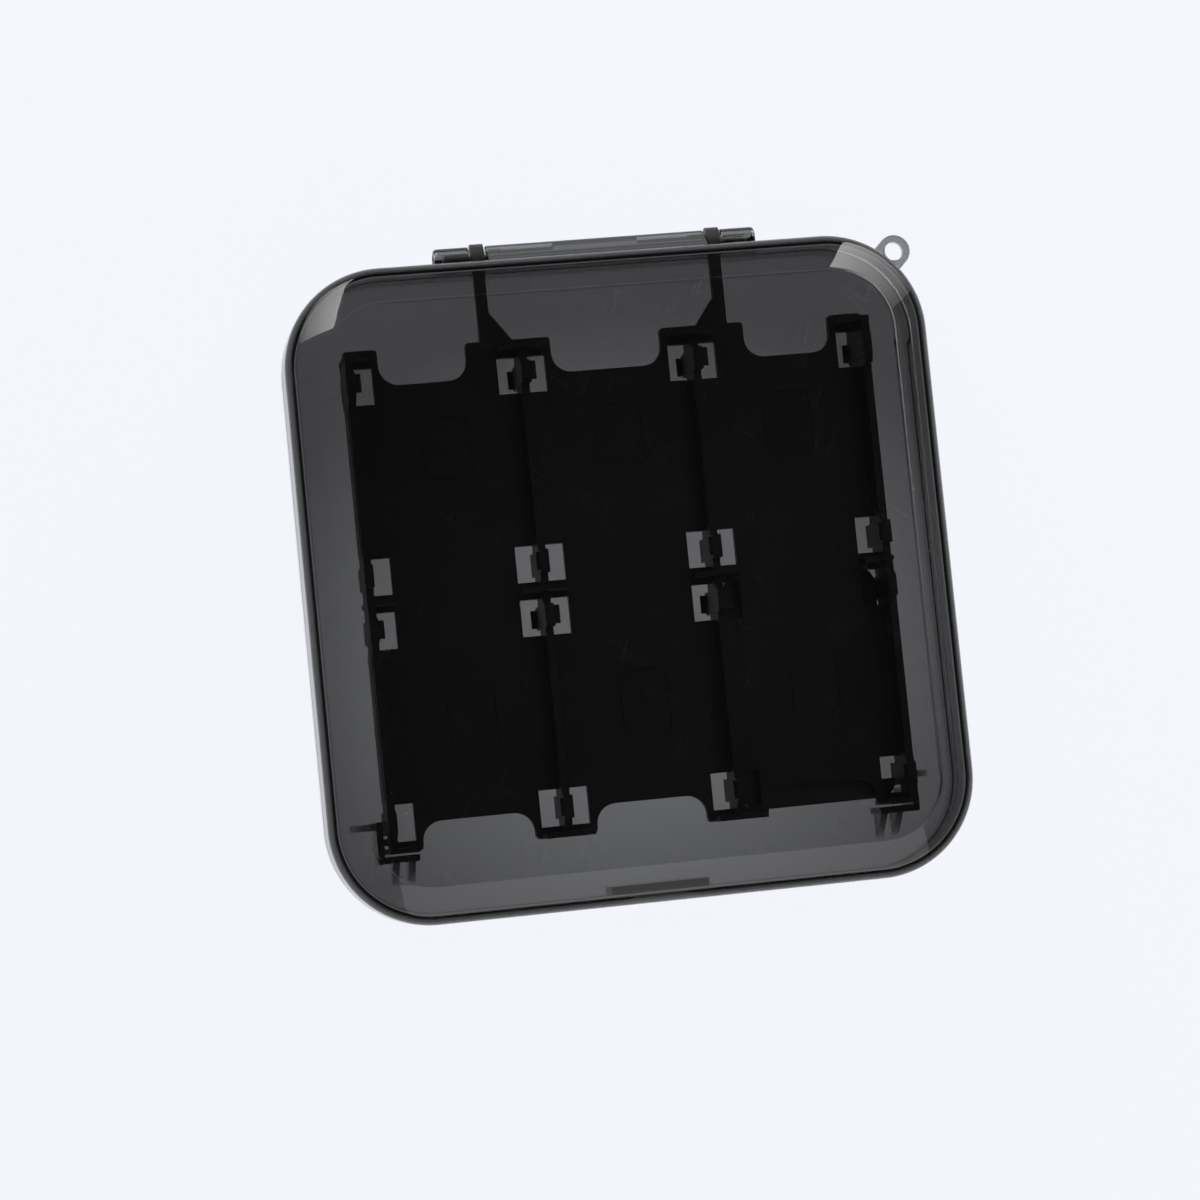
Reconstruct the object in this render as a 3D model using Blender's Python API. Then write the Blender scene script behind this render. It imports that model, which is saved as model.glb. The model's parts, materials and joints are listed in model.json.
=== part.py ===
"""Clear clamshell case for small game cards, closed and lying on its back face.

Two smoke-clear shells close on each other round one black two-sided card tray.
The lid, the tray and the base turn on the same hinge line, at the rear (+Y).
The origin is the middle of the base's outer face, +Z points out through the lid.
"""

import math

import bmesh
import bpy
from mathutils import Matrix, Vector

MM = 0.001

# Card that a slot holds
CARD_W = 21.0 * MM
CARD_L = 31.0 * MM
CARD_T = 3.3 * MM
CARD_CORNER_R = 2.3 * MM

# Slots of the tray
COLUMNS = 3
ROWS = 2
SIDE_PLAY = 0.4 * MM
END_PLAY = 0.25 * MM
DEPTH_PLAY = 0.25 * MM
SLOT_W = CARD_W + 2 * SIDE_PLAY
SLOT_L = CARD_L + 2 * END_PLAY
SLOT_D = CARD_T + 2 * DEPTH_PLAY

# Tray page, its borders and the clips that hold the cards
PAGE_T = 1.2 * MM
BORDER = 1.2 * MM
DIVIDER = 0.65 * MM
END_WALL = 0.7 * MM
TOP_BAND = 1.55 * MM
RAIL_H = 1.9 * MM
RAIL_CUTBACK = 0.4 * MM
CLIP_WINDOW_W = 2.65 * MM
CLIP_WINDOW_L = 4.85 * MM
CLIP_WINDOW_INSET = 0.8 * MM
CLIP_WALL_L = 3.0 * MM
NOSE_L = 2.4 * MM
NOSE_T = 0.6 * MM
NOSE_LEAD = 0.35 * MM
NOSE_REACH = 0.7 * MM
NOSE_REACH_LOW = 0.5 * MM
THUMB_D = 4.85 * MM
THUMB_D_FRONT = 3.75 * MM
THUMB_R = 2.6 * MM
THUMB_WEB = 0.85 * MM
EDGE_SOFTENING = 0.5 * MM
PAGE_INSET = 0.15 * MM

# Case shells
WALL = 1.5 * MM
SIDE_ROOM = 6.4 * MM
REAR_ROOM = 8.86 * MM
FRONT_ROOM = 8.24 * MM
HEAD_ROOM = 1.3 * MM
CORNER_R = 13.4 * MM
CREASE_R = 1.2 * MM
CREASE_TILT = math.radians(18)
CROWN_R = 19.0 * MM
CROWN_TILT = math.radians(30)
EDGE_R = 2.4 * MM
DRAFT_INSET = 0.12 * MM
PARTING_GAP = 0.3 * MM
RUN_GAP = 0.3 * MM
SHY = 0.1 * MM

# Rim lip of the lid and the rebate in the base's rim that takes it
LIP_T = 0.6 * MM
LIP_H = 1.2 * MM
LIP_TAPER = 0.6 * MM
LATCH_SIDE = 1.5 * MM

# Latch tongue of the lid and the thumb scallop of the base
TONGUE_W = 13.0 * MM
TONGUE_T = 1.0 * MM
TONGUE_H = 3.75 * MM
TONGUE_ROOT_H = 1.25 * MM
TONGUE_SINK = 0.3 * MM
BEAD_R = 0.5 * MM
BEAD_PROUD = 0.12 * MM
BEAD_W = 11.2 * MM
SCALLOP_W = 13.0 * MM
SCALLOP_D = 0.7 * MM
SCALLOP_H = 1.75 * MM

# Hinge
HINGE_OUT = 1.05 * MM
KNUCKLE_R = 1.45 * MM
EYE_R = 1.75 * MM
PIN_R = 0.6 * MM
BORE_PLAY = 0.1 * MM
BARREL_HALF = 14.75 * MM
EYE_W = 1.7 * MM
KNUCKLE_W = 4.65 * MM
PIN_END_INSET = 1.2 * MM
PIN_REACH = 12.6 * MM
BORE_END = 5.7 * MM
WEB_H = 4.4 * MM
ARM_GUSSET_W = 2.75 * MM
ARM_GUSSET_L = 3.75 * MM
ARM_LAND = 1.95 * MM

# Corner guides that carry the tray's front corners
GUIDE_T = 0.9 * MM
GUIDE_FRONT_L = 5.4 * MM
GUIDE_SIDE_L = 4.6 * MM
GUIDE_TOP_DROP = 0.3 * MM
GUSSET_T = 0.9 * MM
GUSSET_L = 3.2 * MM
GUSSET_TOE = 0.2 * MM
GUSSET_STEPS = (0.9 * MM, 3.0 * MM)
SIDE_GUSSET_STEP = 4.0 * MM
LEDGE_W = 0.9 * MM
LEDGE_REACH = 1.0 * MM
SINK = 0.25 * MM

# Lanyard ring
RING_R = 2.2 * MM
RING_HOLE_R = 1.28 * MM
RING_T = 1.45 * MM
RING_OUT = 2.58 * MM

# Notch and recesses of the seated card
CARD_NOTCH_D = 2.5 * MM
CARD_NOTCH_L = 3.6 * MM
CARD_NOTCH_UP = 2.5 * MM
LABEL_MARGIN = 1.2 * MM
LABEL_DEPTH = 0.2 * MM
GRIP_BAND = 6.8 * MM
CONTACT_L = 5.0 * MM
CONTACT_DEPTH = 0.3 * MM

# Facets of the round shapes
CORNER_STEPS = 12
CREASE_STEPS = 2
CROWN_STEPS = 3
EDGE_STEPS = 5
HINGE_STEPS = 32
ARC_STEPS = 6

# Sizes that follow from those above
PITCH_X = SLOT_W + BORDER
PITCH_Y = SLOT_L + DIVIDER
THUMB_W = SLOT_W - 2 * (CLIP_WINDOW_W + THUMB_WEB)
TRAY_W = COLUMNS * PITCH_X + BORDER
TRAY_L = ROWS * PITCH_Y - DIVIDER + TOP_BAND + END_WALL
HOOK_TOP = PAGE_T / 2 + SLOT_D + NOSE_T
CASE_W = TRAY_W + 2 * (SIDE_ROOM + WALL)
CASE_L = TRAY_L + REAR_ROOM + FRONT_ROOM + 2 * WALL
CASE_T = 2 * (HOOK_TOP + HEAD_ROOM + WALL)
MID_Z = CASE_T / 2
SHELL_H = MID_Z - PARTING_GAP / 2
TRAY_REAR = CASE_L / 2 - WALL - REAR_ROOM
TRAY_FRONT = TRAY_REAR - TRAY_L
AXIS_Y = CASE_L / 2 + HINGE_OUT
EYE_START = BARREL_HALF + RUN_GAP
EYE_END = EYE_START + EYE_W
KNUCKLE_START = EYE_END + RUN_GAP
KNUCKLE_END = KNUCKLE_START + KNUCKLE_W
BORE_R = PIN_R + BORE_PLAY
ARM_START = EYE_START + SHY
ARM_END = EYE_END - SHY
LATCH_HALF = TONGUE_W / 2 + LATCH_SIDE
TINY = 1e-6
CUTTERS = "cutters"


def clear_scene():
    """Remove the objects that a new file starts with."""
    for item in list(bpy.data.objects):
        bpy.data.objects.remove(item, do_unlink=True)


def collection(name):
    """Return the collection with this name, made on first use."""
    found = bpy.data.collections.get(name)
    if found is None:
        found = bpy.data.collections.new(name)
        bpy.context.scene.collection.children.link(found)
    return found


def plastic(name, colour, roughness, metallic=0.0, alpha=1.0):
    """Make a Principled material."""
    made = bpy.data.materials.new(name)
    made.use_nodes = True
    shader = made.node_tree.nodes["Principled BSDF"]
    shader.inputs["Base Color"].default_value = (*colour, 1.0)
    shader.inputs["Roughness"].default_value = roughness
    shader.inputs["Metallic"].default_value = metallic
    shader.inputs["Alpha"].default_value = alpha
    return made


def from_bmesh(name, bm):
    """Turn a bmesh into an object among the cutters, where helpers stay."""
    mesh = bpy.data.meshes.new(name)
    bm.to_mesh(mesh)
    bm.free()
    item = bpy.data.objects.new(name, mesh)
    item.hide_render = True
    item.display_type = "WIRE"
    collection(CUTTERS).objects.link(item)
    return item


def finish(item, group, look):
    """Move a finished piece to its own collection, with its material and shading."""
    collection(CUTTERS).objects.unlink(item)
    collection(group).objects.link(item)
    item.hide_render = False
    item.display_type = "TEXTURED"
    item.data.materials.append(look)
    item.data.shade_smooth()
    item.data.set_sharp_from_angle(angle=math.radians(32))
    return item


def boolean(target, other, operation):
    """Add one exact Boolean step to the target."""
    step = target.modifiers.new(f"{operation.lower()} {other.name}", "BOOLEAN")
    step.operation = operation
    step.solver = "EXACT"
    step.object = other


def cut(target, *cutters):
    """Cut each helper out of the target."""
    for other in cutters:
        boolean(target, other, "DIFFERENCE")


def join(target, *pieces):
    """Fuse each helper to the target."""
    for other in pieces:
        boolean(target, other, "UNION")


def add_box(bm, low, high):
    """Add an upright box between two corners."""
    low = Vector(low)
    high = Vector(high)
    made = bmesh.ops.create_cube(bm, size=1.0)
    bmesh.ops.scale(bm, vec=high - low, verts=made["verts"])
    bmesh.ops.translate(bm, vec=(low + high) / 2, verts=made["verts"])


def boxes(name, corners):
    """One helper that holds several boxes which stay clear of each other."""
    bm = bmesh.new()
    for low, high in corners:
        add_box(bm, low, high)
    return from_bmesh(name, bm)


def rods(name, radius, spans, y, z):
    """One helper with a round rod along X for each (start, end)."""
    bm = bmesh.new()
    for start, end in spans:
        centre = Matrix.Translation(((start + end) / 2, y, z))
        turn = Matrix.Rotation(math.pi / 2, 4, "Y")
        bmesh.ops.create_cone(
            bm, cap_ends=True, segments=HINGE_STEPS, radius1=radius, radius2=radius,
            depth=abs(end - start), matrix=centre @ turn)
    return from_bmesh(name, bm)


def arc(centre, radius, start, end, steps):
    """Points on an arc between two angles, both ends kept."""
    points = []
    for index in range(steps + 1):
        angle = start + (end - start) * index / steps
        points.append((centre[0] + radius * math.cos(angle), centre[1] + radius * math.sin(angle)))
    return points


def rounded(corners, steps=ARC_STEPS):
    """Turn (x, y, radius) corners into a closed outline with a tangent arc at each."""
    outline = []
    for index, (x, y, radius) in enumerate(corners):
        here = Vector((x, y))
        if radius <= 0:
            outline.append((x, y))
            continue
        back = (Vector(corners[index - 1][:2]) - here).normalized()
        ahead = (Vector(corners[(index + 1) % len(corners)][:2]) - here).normalized()
        half = back.angle(ahead) / 2
        bisector = (back + ahead).normalized()
        centre = here + bisector * (radius / math.sin(half))
        first = here + back * (radius / math.tan(half)) - centre
        last = here + ahead * (radius / math.tan(half)) - centre
        start = math.atan2(first.y, first.x)
        sweep = math.atan2(first.x * last.y - first.y * last.x, first.dot(last))
        outline += arc(centre, radius, start, start + sweep, steps)
    return outline


def outline_solid(name, loops, thickness, place):
    """Fill flat loops, the inner ones as holes, and thicken them half to each side."""
    curve = bpy.data.curves.new(name, "CURVE")
    curve.dimensions = "2D"
    curve.fill_mode = "BOTH"
    curve.extrude = thickness / 2
    for loop in loops:
        spline = curve.splines.new("POLY")
        spline.points.add(len(loop) - 1)
        for point, (u, v) in zip(spline.points, loop):
            point.co = (u, v, 0.0, 1.0)
        spline.use_cyclic_u = True
    flat = bpy.data.objects.new(name, curve)
    bpy.context.scene.collection.objects.link(flat)
    graph = bpy.context.evaluated_depsgraph_get()
    mesh = bpy.data.meshes.new_from_object(flat.evaluated_get(graph))
    bpy.data.objects.remove(flat, do_unlink=True)
    bm = bmesh.new()
    bm.from_mesh(mesh)
    bpy.data.meshes.remove(mesh)
    bmesh.ops.remove_doubles(bm, verts=bm.verts, dist=TINY)
    bmesh.ops.transform(bm, matrix=place, verts=bm.verts)
    return from_bmesh(name, bm)


def copies(name, source, places):
    """One helper that repeats another helper's mesh at each place."""
    bm = bmesh.new()
    for place in places:
        before = len(bm.verts)
        bm.from_mesh(source.data)
        bm.verts.ensure_lookup_table()
        bmesh.ops.transform(bm, matrix=place, verts=bm.verts[before:])
    bpy.data.objects.remove(source, do_unlink=True)
    return from_bmesh(name, bm)


def along_x(middle):
    """Place for a flat outline drawn as (y, z) and thickened along X."""
    turn = Matrix(((0, 0, 1, 0), (1, 0, 0, 0), (0, 1, 0, 0), (0, 0, 0, 1)))
    return Matrix.Translation((middle, 0, 0)) @ turn


def along_y(middle):
    """Place for a flat outline drawn as (x, z) and thickened along Y."""
    return Matrix.Translation((0, middle, 0)) @ Matrix.Rotation(math.pi / 2, 4, "X")


def both_sides(start, end):
    """The span and its mirror image in X."""
    return [(start, end), (-end, -start)]


def crown_line():
    """Edge of a shell's face as (inset, height), from the flat outwards.

    Three arcs that meet without a corner tilt the surface from level to upright: the
    crease, the shallow crown and the edge.
    """
    arcs = (
        (CREASE_R, 0.0, CREASE_TILT, CREASE_STEPS),
        (CROWN_R, CREASE_TILT, CROWN_TILT, CROWN_STEPS),
        (EDGE_R, CROWN_TILT, math.pi / 2, EDGE_STEPS))
    line = [(0.0, 0.0)]
    for radius, first, last, steps in arcs:
        out, down = line[-1]
        for index in range(1, steps + 1):
            tilt = first + (last - first) * index / steps
            line.append((
                out + radius * (math.sin(tilt) - math.sin(first)),
                down + radius * (math.cos(first) - math.cos(tilt))))
    reach = line[-1][0] + DRAFT_INSET
    return [(reach - out, down) for out, down in line]


def inner_line(outer):
    """Line inside the outer one by the wall, without the points that fold back at the crease."""
    outer = [(outer[0][0] + WALL, 0.0), *outer, (0.0, SHELL_H)]
    edges = [(Vector(b) - Vector(a)).normalized() for a, b in zip(outer, outer[1:])]
    line = []
    for index in range(1, len(outer) - 1):
        before = Vector((edges[index - 1].y, -edges[index - 1].x))
        after = Vector((edges[index].y, -edges[index].x))
        mitre = before + after
        moved = Vector(outer[index]) + mitre * (2 * WALL / mitre.length_squared)
        if not line or moved.x < line[-1][0]:
            line.append(tuple(moved))
    return line


def stations(end, latch):
    """Places round the outline as (x, y, angle, stepped), from the rear right corner on.

    The rim is stepped along the sides and the front, from this end below the rear corners
    to this half width beside the latch.
    """
    x = CASE_W / 2 - CORNER_R
    y = CASE_L / 2 - CORNER_R
    half = math.pi / 2
    places = bend(x, y, 0, False) + bend(-x, y, half, False)
    places.append((-x, y - end, 2 * half, False))
    places.append((-x, y - end - LIP_TAPER, 2 * half, True))
    places += bend(-x, -y, 2 * half, True)
    places.append((-latch - LIP_TAPER, -y, 3 * half, True))
    places.append((-latch, -y, 3 * half, False))
    places.append((latch, -y, 3 * half, False))
    places.append((latch + LIP_TAPER, -y, 3 * half, True))
    places += bend(x, -y, 3 * half, True)
    places.append((x, y - end - LIP_TAPER, 4 * half, True))
    places.append((x, y - end, 4 * half, False))
    return places


def bend(x, y, start, stepped):
    """Places round one corner of the outline."""
    turn = math.pi / 2 / CORNER_STEPS
    return [(x, y, start + turn * index, stepped) for index in range(CORNER_STEPS + 1)]


def shell_skin(name, places, step_inset, step_rise):
    """Open tray-shaped shell, face down: the wall's section carried round the outline.

    Where the rim is stepped, its inner part rises by the step's rise or, with a minus,
    lies lower.
    """
    outer = crown_line()
    inner = inner_line(outer)
    bm = bmesh.new()
    rings = []
    for x, y, angle, stepped in places:
        top = SHELL_H + (step_rise if stepped else 0.0)
        rim = [(0.0, SHELL_H), (step_inset, SHELL_H), (step_inset, top), (WALL, top)]
        ring = []
        for inset, height in [*outer, *rim, *reversed(inner)]:
            reach = CORNER_R - inset
            point = (x + reach * math.cos(angle), y + reach * math.sin(angle), height)
            ring.append(bm.verts.new(point))
        rings.append(ring)
    for here, ahead in zip(rings, rings[1:] + rings[:1]):
        for index in range(len(here) - 1):
            bm.faces.new((here[index], ahead[index], ahead[index + 1], here[index + 1]))
    bm.faces.new([ring[0] for ring in rings])
    bm.faces.new([ring[-1] for ring in rings])
    bmesh.ops.remove_doubles(bm, verts=bm.verts, dist=TINY)
    bmesh.ops.recalc_face_normals(bm, faces=bm.faces)
    return from_bmesh(name, bm)


def knuckle_outline(side):
    """Outline (y, z) of a knuckle with its web to the wall: side is 1 for the lid, -1 for the base."""
    root_y = CASE_L / 2 - WALL / 2
    root_z = WEB_H
    reach = Vector((root_y - AXIS_Y, root_z))
    lean = math.acos(KNUCKLE_R / reach.length)
    touch = math.atan2(reach.y, reach.x) - lean
    level = PARTING_GAP / 2 + SHY
    under = math.asin(level / KNUCKLE_R)
    barrel = arc((AXIS_Y, 0.0), KNUCKLE_R, touch, under - math.pi, HINGE_STEPS * 2 // 3)
    points = [(root_y, root_z), *barrel, (root_y, level)]
    return [(y, MID_Z + side * z) for y, z in points]


def knuckles(name, spans, side):
    """One helper with a knuckle for each (start, end) along X."""
    bm = bmesh.new()
    for index, (start, end) in enumerate(spans):
        piece = outline_solid(
            f"{name} {index}", [knuckle_outline(side)], end - start, along_x((start + end) / 2))
        bm.from_mesh(piece.data)
        bpy.data.objects.remove(piece, do_unlink=True)
    return from_bmesh(name, bm)


def arm_notches(name, low, high):
    """Slots in a rear rim where the tray's arms pass."""
    spans = both_sides(ARM_START - RUN_GAP, ARM_END + RUN_GAP)
    inner = CASE_L / 2 - WALL - WALL / 2
    return boxes(name, [((a, inner, low), (b, AXIS_Y, high)) for a, b in spans])


def relief(name, spans, radius):
    """Round clearance along the hinge line."""
    return rods(name, radius + RUN_GAP, spans, AXIS_Y, MID_Z)


def lid_shell(group, look):
    """Front shell with the middle barrel, the rim lip and the latch tongue."""
    places = stations(2 * LIP_TAPER, LATCH_HALF + LIP_TAPER)
    lid = shell_skin("lid_shell", places, WALL - LIP_T, PARTING_GAP + LIP_H)
    lid.data.transform(Matrix.Translation((0, 0, CASE_T)) @ Matrix.Rotation(math.pi, 4, "Y"))
    rim = CASE_T - SHELL_H
    cut(lid, relief(
        "lid knuckle relief", both_sides(BARREL_HALF - SHY, KNUCKLE_END + RUN_GAP), KNUCKLE_R))
    cut(lid, relief("lid eye relief", both_sides(BARREL_HALF - 2 * SHY, KNUCKLE_START), EYE_R))
    cut(lid, arm_notches("lid arm notches", rim - WALL, MID_Z + PAGE_T / 2 + RUN_GAP))
    join(lid, knuckles("lid barrel", [(-BARREL_HALF, BARREL_HALF)], 1))
    cut(lid, rods("lid bores", BORE_R, both_sides(BORE_END, KNUCKLE_START), AXIS_Y, MID_Z))
    join(lid, latch_tongue(), latch_bead("latch bead", BEAD_R, BEAD_W))
    return finish(lid, group, look)


def latch_tongue():
    """Springy tongue that hangs inside the middle of the front, from a root on the lid's wall."""
    outer = -CASE_L / 2 + WALL + RUN_GAP
    root = -CASE_L / 2 + WALL - TONGUE_SINK
    low = SHELL_H - TONGUE_H
    root_low = CASE_T - SHELL_H + SHY
    root_top = root_low + TONGUE_ROOT_H
    loop = [
        (outer, low), (outer + TONGUE_T, low), (outer + TONGUE_T, root_top), (root, root_top),
        (root, root_low), (outer, root_low)]
    return outline_solid("latch tongue", [loop], TONGUE_W, along_x(0))


def latch_bead(name, radius, width):
    """Round bead along the tongue, or with more radius the groove that takes it."""
    y = -CASE_L / 2 + WALL + RUN_GAP - BEAD_PROUD + BEAD_R
    z = SHELL_H - TONGUE_H + 2 * BEAD_R
    return rods(name, radius, [(-width / 2, width / 2)], y, z)


def thumb_scallop():
    """Shallow arc in the base's front rim where a thumb lifts the lid."""
    radius = (SCALLOP_W ** 2 / 4 + SCALLOP_D ** 2) / (2 * SCALLOP_D)
    centre_y = -CASE_L / 2 - radius + SCALLOP_D
    half = math.asin(SCALLOP_W / 2 / radius) * 1.2
    bow = arc((0.0, centre_y), radius, math.pi / 2 + half, math.pi / 2 - half, 2 * ARC_STEPS)
    front = -CASE_L / 2 - WALL
    loop = [(bow[0][0], front), *bow, (bow[-1][0], front)]
    middle = SHELL_H - SCALLOP_H / 2 + WALL / 2
    return outline_solid(
        "thumb scallop", [loop], SCALLOP_H + WALL, Matrix.Translation((0, 0, middle)))


def lanyard_ring():
    """Flat eye on the rear right corner, its neck sunk in the corner's wall."""
    bend = Vector((CASE_W / 2 - CORNER_R, CASE_L / 2 - CORNER_R))
    out = Vector((1, 1)).normalized()
    across = Vector((-1, 1)).normalized()
    centre = bend + out * (CORNER_R + RING_OUT)
    root = bend + out * (CORNER_R - WALL / 2)
    turn = math.radians(45)
    rim = arc(centre, RING_R, turn - math.pi / 2, turn + math.pi / 2, 3 * ARC_STEPS)
    loop = [tuple(root - across * RING_R), *rim, tuple(root + across * RING_R)]
    hole = arc(centre, RING_HOLE_R, 0, 2 * math.pi, 4 * ARC_STEPS)[:-1]
    place = Matrix.Translation((0, 0, SHELL_H - SHY - RING_T / 2))
    return outline_solid("lanyard ring", [loop, hole], RING_T, place)


def corner_guides():
    """L-shaped stops round the tray's front corners, each with a ledge under the page."""
    side = TRAY_W / 2 + RUN_GAP
    front = TRAY_FRONT - RUN_GAP
    floor = WALL - SINK
    top = SHELL_H - GUIDE_TOP_DROP
    corner_x = side + GUIDE_T
    corner_y = front - GUIDE_T
    angle = [
        (corner_x - GUIDE_FRONT_L, corner_y), (corner_x, corner_y),
        (corner_x, front + GUIDE_SIDE_L), (side, front + GUIDE_SIDE_L), (side, front),
        (corner_x - GUIDE_FRONT_L, front)]
    place = Matrix.Translation((0, 0, (floor + top) / 2))
    guides = mirrored("corner guides", angle, top - floor, place)
    ledge_top = MID_Z - PAGE_T / 2 - RUN_GAP
    ledge_y = TRAY_FRONT + END_WALL + LEDGE_W
    ledges = boxes("guide ledges", [
        ((a, ledge_y - LEDGE_W / 2, floor), (b, ledge_y + LEDGE_W / 2, ledge_top))
        for a, b in both_sides(side - LEDGE_REACH, side + SINK)])
    return [guides, ledges, front_gussets(), side_gussets()]


def mirrored(name, outline, thickness, place):
    """One helper with a thickened outline (u, v) and its mirror image in u."""
    bm = bmesh.new()
    for sign in (1, -1):
        half = outline_solid(name, [[(sign * u, v) for u, v in outline]], thickness, place)
        bm.from_mesh(half.data)
        bpy.data.objects.remove(half, do_unlink=True)
    return from_bmesh(name, bm)


def gusset(start, sign):
    """Outline of a triangular rib from a guide at start down to the floor, with a low toe."""
    floor = WALL - SINK
    top = SHELL_H - GUIDE_TOP_DROP - WALL
    toe = start + sign * GUSSET_L
    return [
        (start - sign * SINK, floor), (toe, floor), (toe, WALL + GUSSET_TOE), (start, top),
        (start - sign * SINK, top)]


def front_gussets():
    """Ribs between the guides and the floor, towards the front wall."""
    rib = gusset(TRAY_FRONT - RUN_GAP - GUIDE_T, -1)
    source = outline_solid("front gusset", [rib], GUSSET_T, along_x(0))
    start = TRAY_W / 2 + RUN_GAP + GUIDE_T - GUIDE_FRONT_L
    middles = [start + step for step in GUSSET_STEPS]
    places = [Matrix.Translation((sign * x, 0, 0)) for sign in (1, -1) for x in middles]
    return copies("front gussets", source, places)


def side_gussets():
    """One rib between each guide and the floor, towards the side wall."""
    rib = gusset(TRAY_W / 2 + RUN_GAP + GUIDE_T, 1)
    y = TRAY_FRONT - RUN_GAP + SIDE_GUSSET_STEP
    return mirrored("side gussets", rib, GUSSET_T, along_y(y))


def base_shell(group, look):
    """Back shell with the outer knuckles, the lanyard ring and the tray's corner guides."""
    places = stations(LIP_TAPER, LATCH_HALF)
    base = shell_skin("base_shell", places, WALL - LIP_T - RUN_GAP, -LIP_H - RUN_GAP)
    room = KNUCKLE_START + SHY
    cut(base, relief("base barrel relief", [(-room, room)], KNUCKLE_R))
    cut(base, relief("base eye relief", both_sides(BARREL_HALF, room + SHY), EYE_R))
    cut(base, arm_notches("base arm notches", MID_Z - PAGE_T / 2 - RUN_GAP, MID_Z))
    join(base, knuckles("base knuckles", both_sides(KNUCKLE_START, KNUCKLE_END), -1))
    cut(base, rods(
        "base bores", BORE_R, both_sides(KNUCKLE_START - RUN_GAP, KNUCKLE_END + RUN_GAP), AXIS_Y, MID_Z))
    cut(base, latch_bead("latch groove", BEAD_R + RUN_GAP, BEAD_W + 2 * RUN_GAP), thumb_scallop())
    join(base, lanyard_ring(), *corner_guides())
    return finish(base, group, look)


def column_x(column):
    """Middle of a column of slots."""
    return (column - (COLUMNS - 1) / 2) * PITCH_X


def border_x(border):
    """Middle of the border before this column, or after the last one."""
    return (border - COLUMNS / 2) * PITCH_X


def row_y(row):
    """Middle of a row of slots, the rear row first."""
    return TRAY_REAR - TOP_BAND - SLOT_L / 2 - row * PITCH_Y


def tray_outline():
    """Page outline with thumb notches at both ends and the two hinge arms at the rear."""
    half = TRAY_W / 2 - PAGE_INSET
    front = TRAY_FRONT + PAGE_INSET
    soft = EDGE_SOFTENING
    points = [(-half, front, soft)]
    for column in range(COLUMNS):
        low = column_x(column) - THUMB_W / 2
        points += notch(low, low + THUMB_W, front, THUMB_D_FRONT - PAGE_INSET)
    points.append((half, front, soft))
    points.append((half, TRAY_REAR, soft))
    for column in reversed(range(COLUMNS)):
        points += rear_stretch(column)
    points.append((-half, TRAY_REAR, soft))
    return rounded(points)


def notch(start, end, y, depth):
    """Corners of one thumb notch, cut depth deep from the edge at y."""
    return [
        (start, y, EDGE_SOFTENING), (start, y + depth, THUMB_R),
        (end, y + depth, THUMB_R), (end, y, EDGE_SOFTENING)]


def rear_stretch(column):
    """Rear edge of one column from right to left, with the arm beside an outer column."""
    x = column_x(column)
    high = x + THUMB_W / 2
    low = x - THUMB_W / 2
    land = EYE_END + ARM_LAND
    if column == COLUMNS - 1:
        return notch(high, land, TRAY_REAR, -THUMB_D) + arm(1)
    if column == 0:
        return arm(-1) + notch(-land, low, TRAY_REAR, -THUMB_D)
    return notch(high, low, TRAY_REAR, -THUMB_D)


def arm(sign):
    """Corners of one hinge arm with its gusset towards the middle, from right to left."""
    corners = [
        (ARM_END, TRAY_REAR, 0), (ARM_END, AXIS_Y, 0), (ARM_START, AXIS_Y, 0),
        (ARM_START, TRAY_REAR + ARM_GUSSET_L, 0), (ARM_START - ARM_GUSSET_W, TRAY_REAR, 0)]
    if sign > 0:
        return corners
    return [(-x, y, radius) for x, y, radius in reversed(corners)]


def clip_windows():
    """Openings through the page under the clips, four to a slot, just into the border."""
    corners = []
    inner = SLOT_W / 2 - CLIP_WINDOW_W
    outer = SLOT_W / 2 + SHY
    for column in range(COLUMNS):
        for row in range(ROWS):
            for side in (-1, 1):
                for y in clip_rows(row):
                    x0, x1 = sorted(column_x(column) + side * edge for edge in (inner, outer))
                    corners.append(page_box((x0 + x1) / 2, x1 - x0, y, CLIP_WINDOW_L, PAGE_T))
    return boxes("clip windows", corners)


def clip_rows(row):
    """Heights of a slot's two pairs of clips, the rear pair first."""
    reach = SLOT_L / 2 - CLIP_WINDOW_INSET - CLIP_WINDOW_L / 2
    return row_y(row) + reach, row_y(row) - reach


def tray_walls():
    """Side rails, end walls and clip walls on both faces of the page."""
    corners = []
    rail_end = SLOT_L / 2 - CLIP_WINDOW_INSET - CLIP_WINDOW_L - RAIL_CUTBACK
    rail_z = PAGE_T / 2 + RAIL_H
    clip_z = HOOK_TOP - NOSE_LEAD
    wall_z = PAGE_T / 2 + SLOT_D
    for border in range(COLUMNS + 1):
        x = border_x(border)
        for row in range(ROWS):
            corners.append(page_box(x, BORDER, row_y(row), 2 * rail_end, rail_z))
            for y in clip_rows(row):
                corners.append(page_box(x, BORDER, y, CLIP_WALL_L, clip_z))
        corners += end_walls(border, wall_z)
    return boxes("tray walls", corners)


def end_walls(border, height):
    """Short walls across the ends of the slots that meet at this border."""
    reach = BORDER / 2 + CLIP_WINDOW_W
    x0 = max(border_x(border) - reach, -TRAY_W / 2)
    x1 = min(border_x(border) + reach, TRAY_W / 2)
    middle = (x0 + x1) / 2
    ends = [(row_y(0) + SLOT_L / 2 + END_WALL / 2, END_WALL)]
    ends += [(row_y(row) + SLOT_L / 2 + DIVIDER / 2, DIVIDER) for row in range(1, ROWS)]
    ends.append((row_y(ROWS - 1) - SLOT_L / 2 - END_WALL / 2, END_WALL))
    return [page_box(middle, x1 - x0, y, thickness, height) for y, thickness in ends]


def page_box(x, width, y, length, height):
    """Corners of a box that stands out equally from both faces of the page."""
    low = (x - width / 2, y - length / 2, MID_Z - height)
    high = (x + width / 2, y + length / 2, MID_Z + height)
    return low, high


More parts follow.
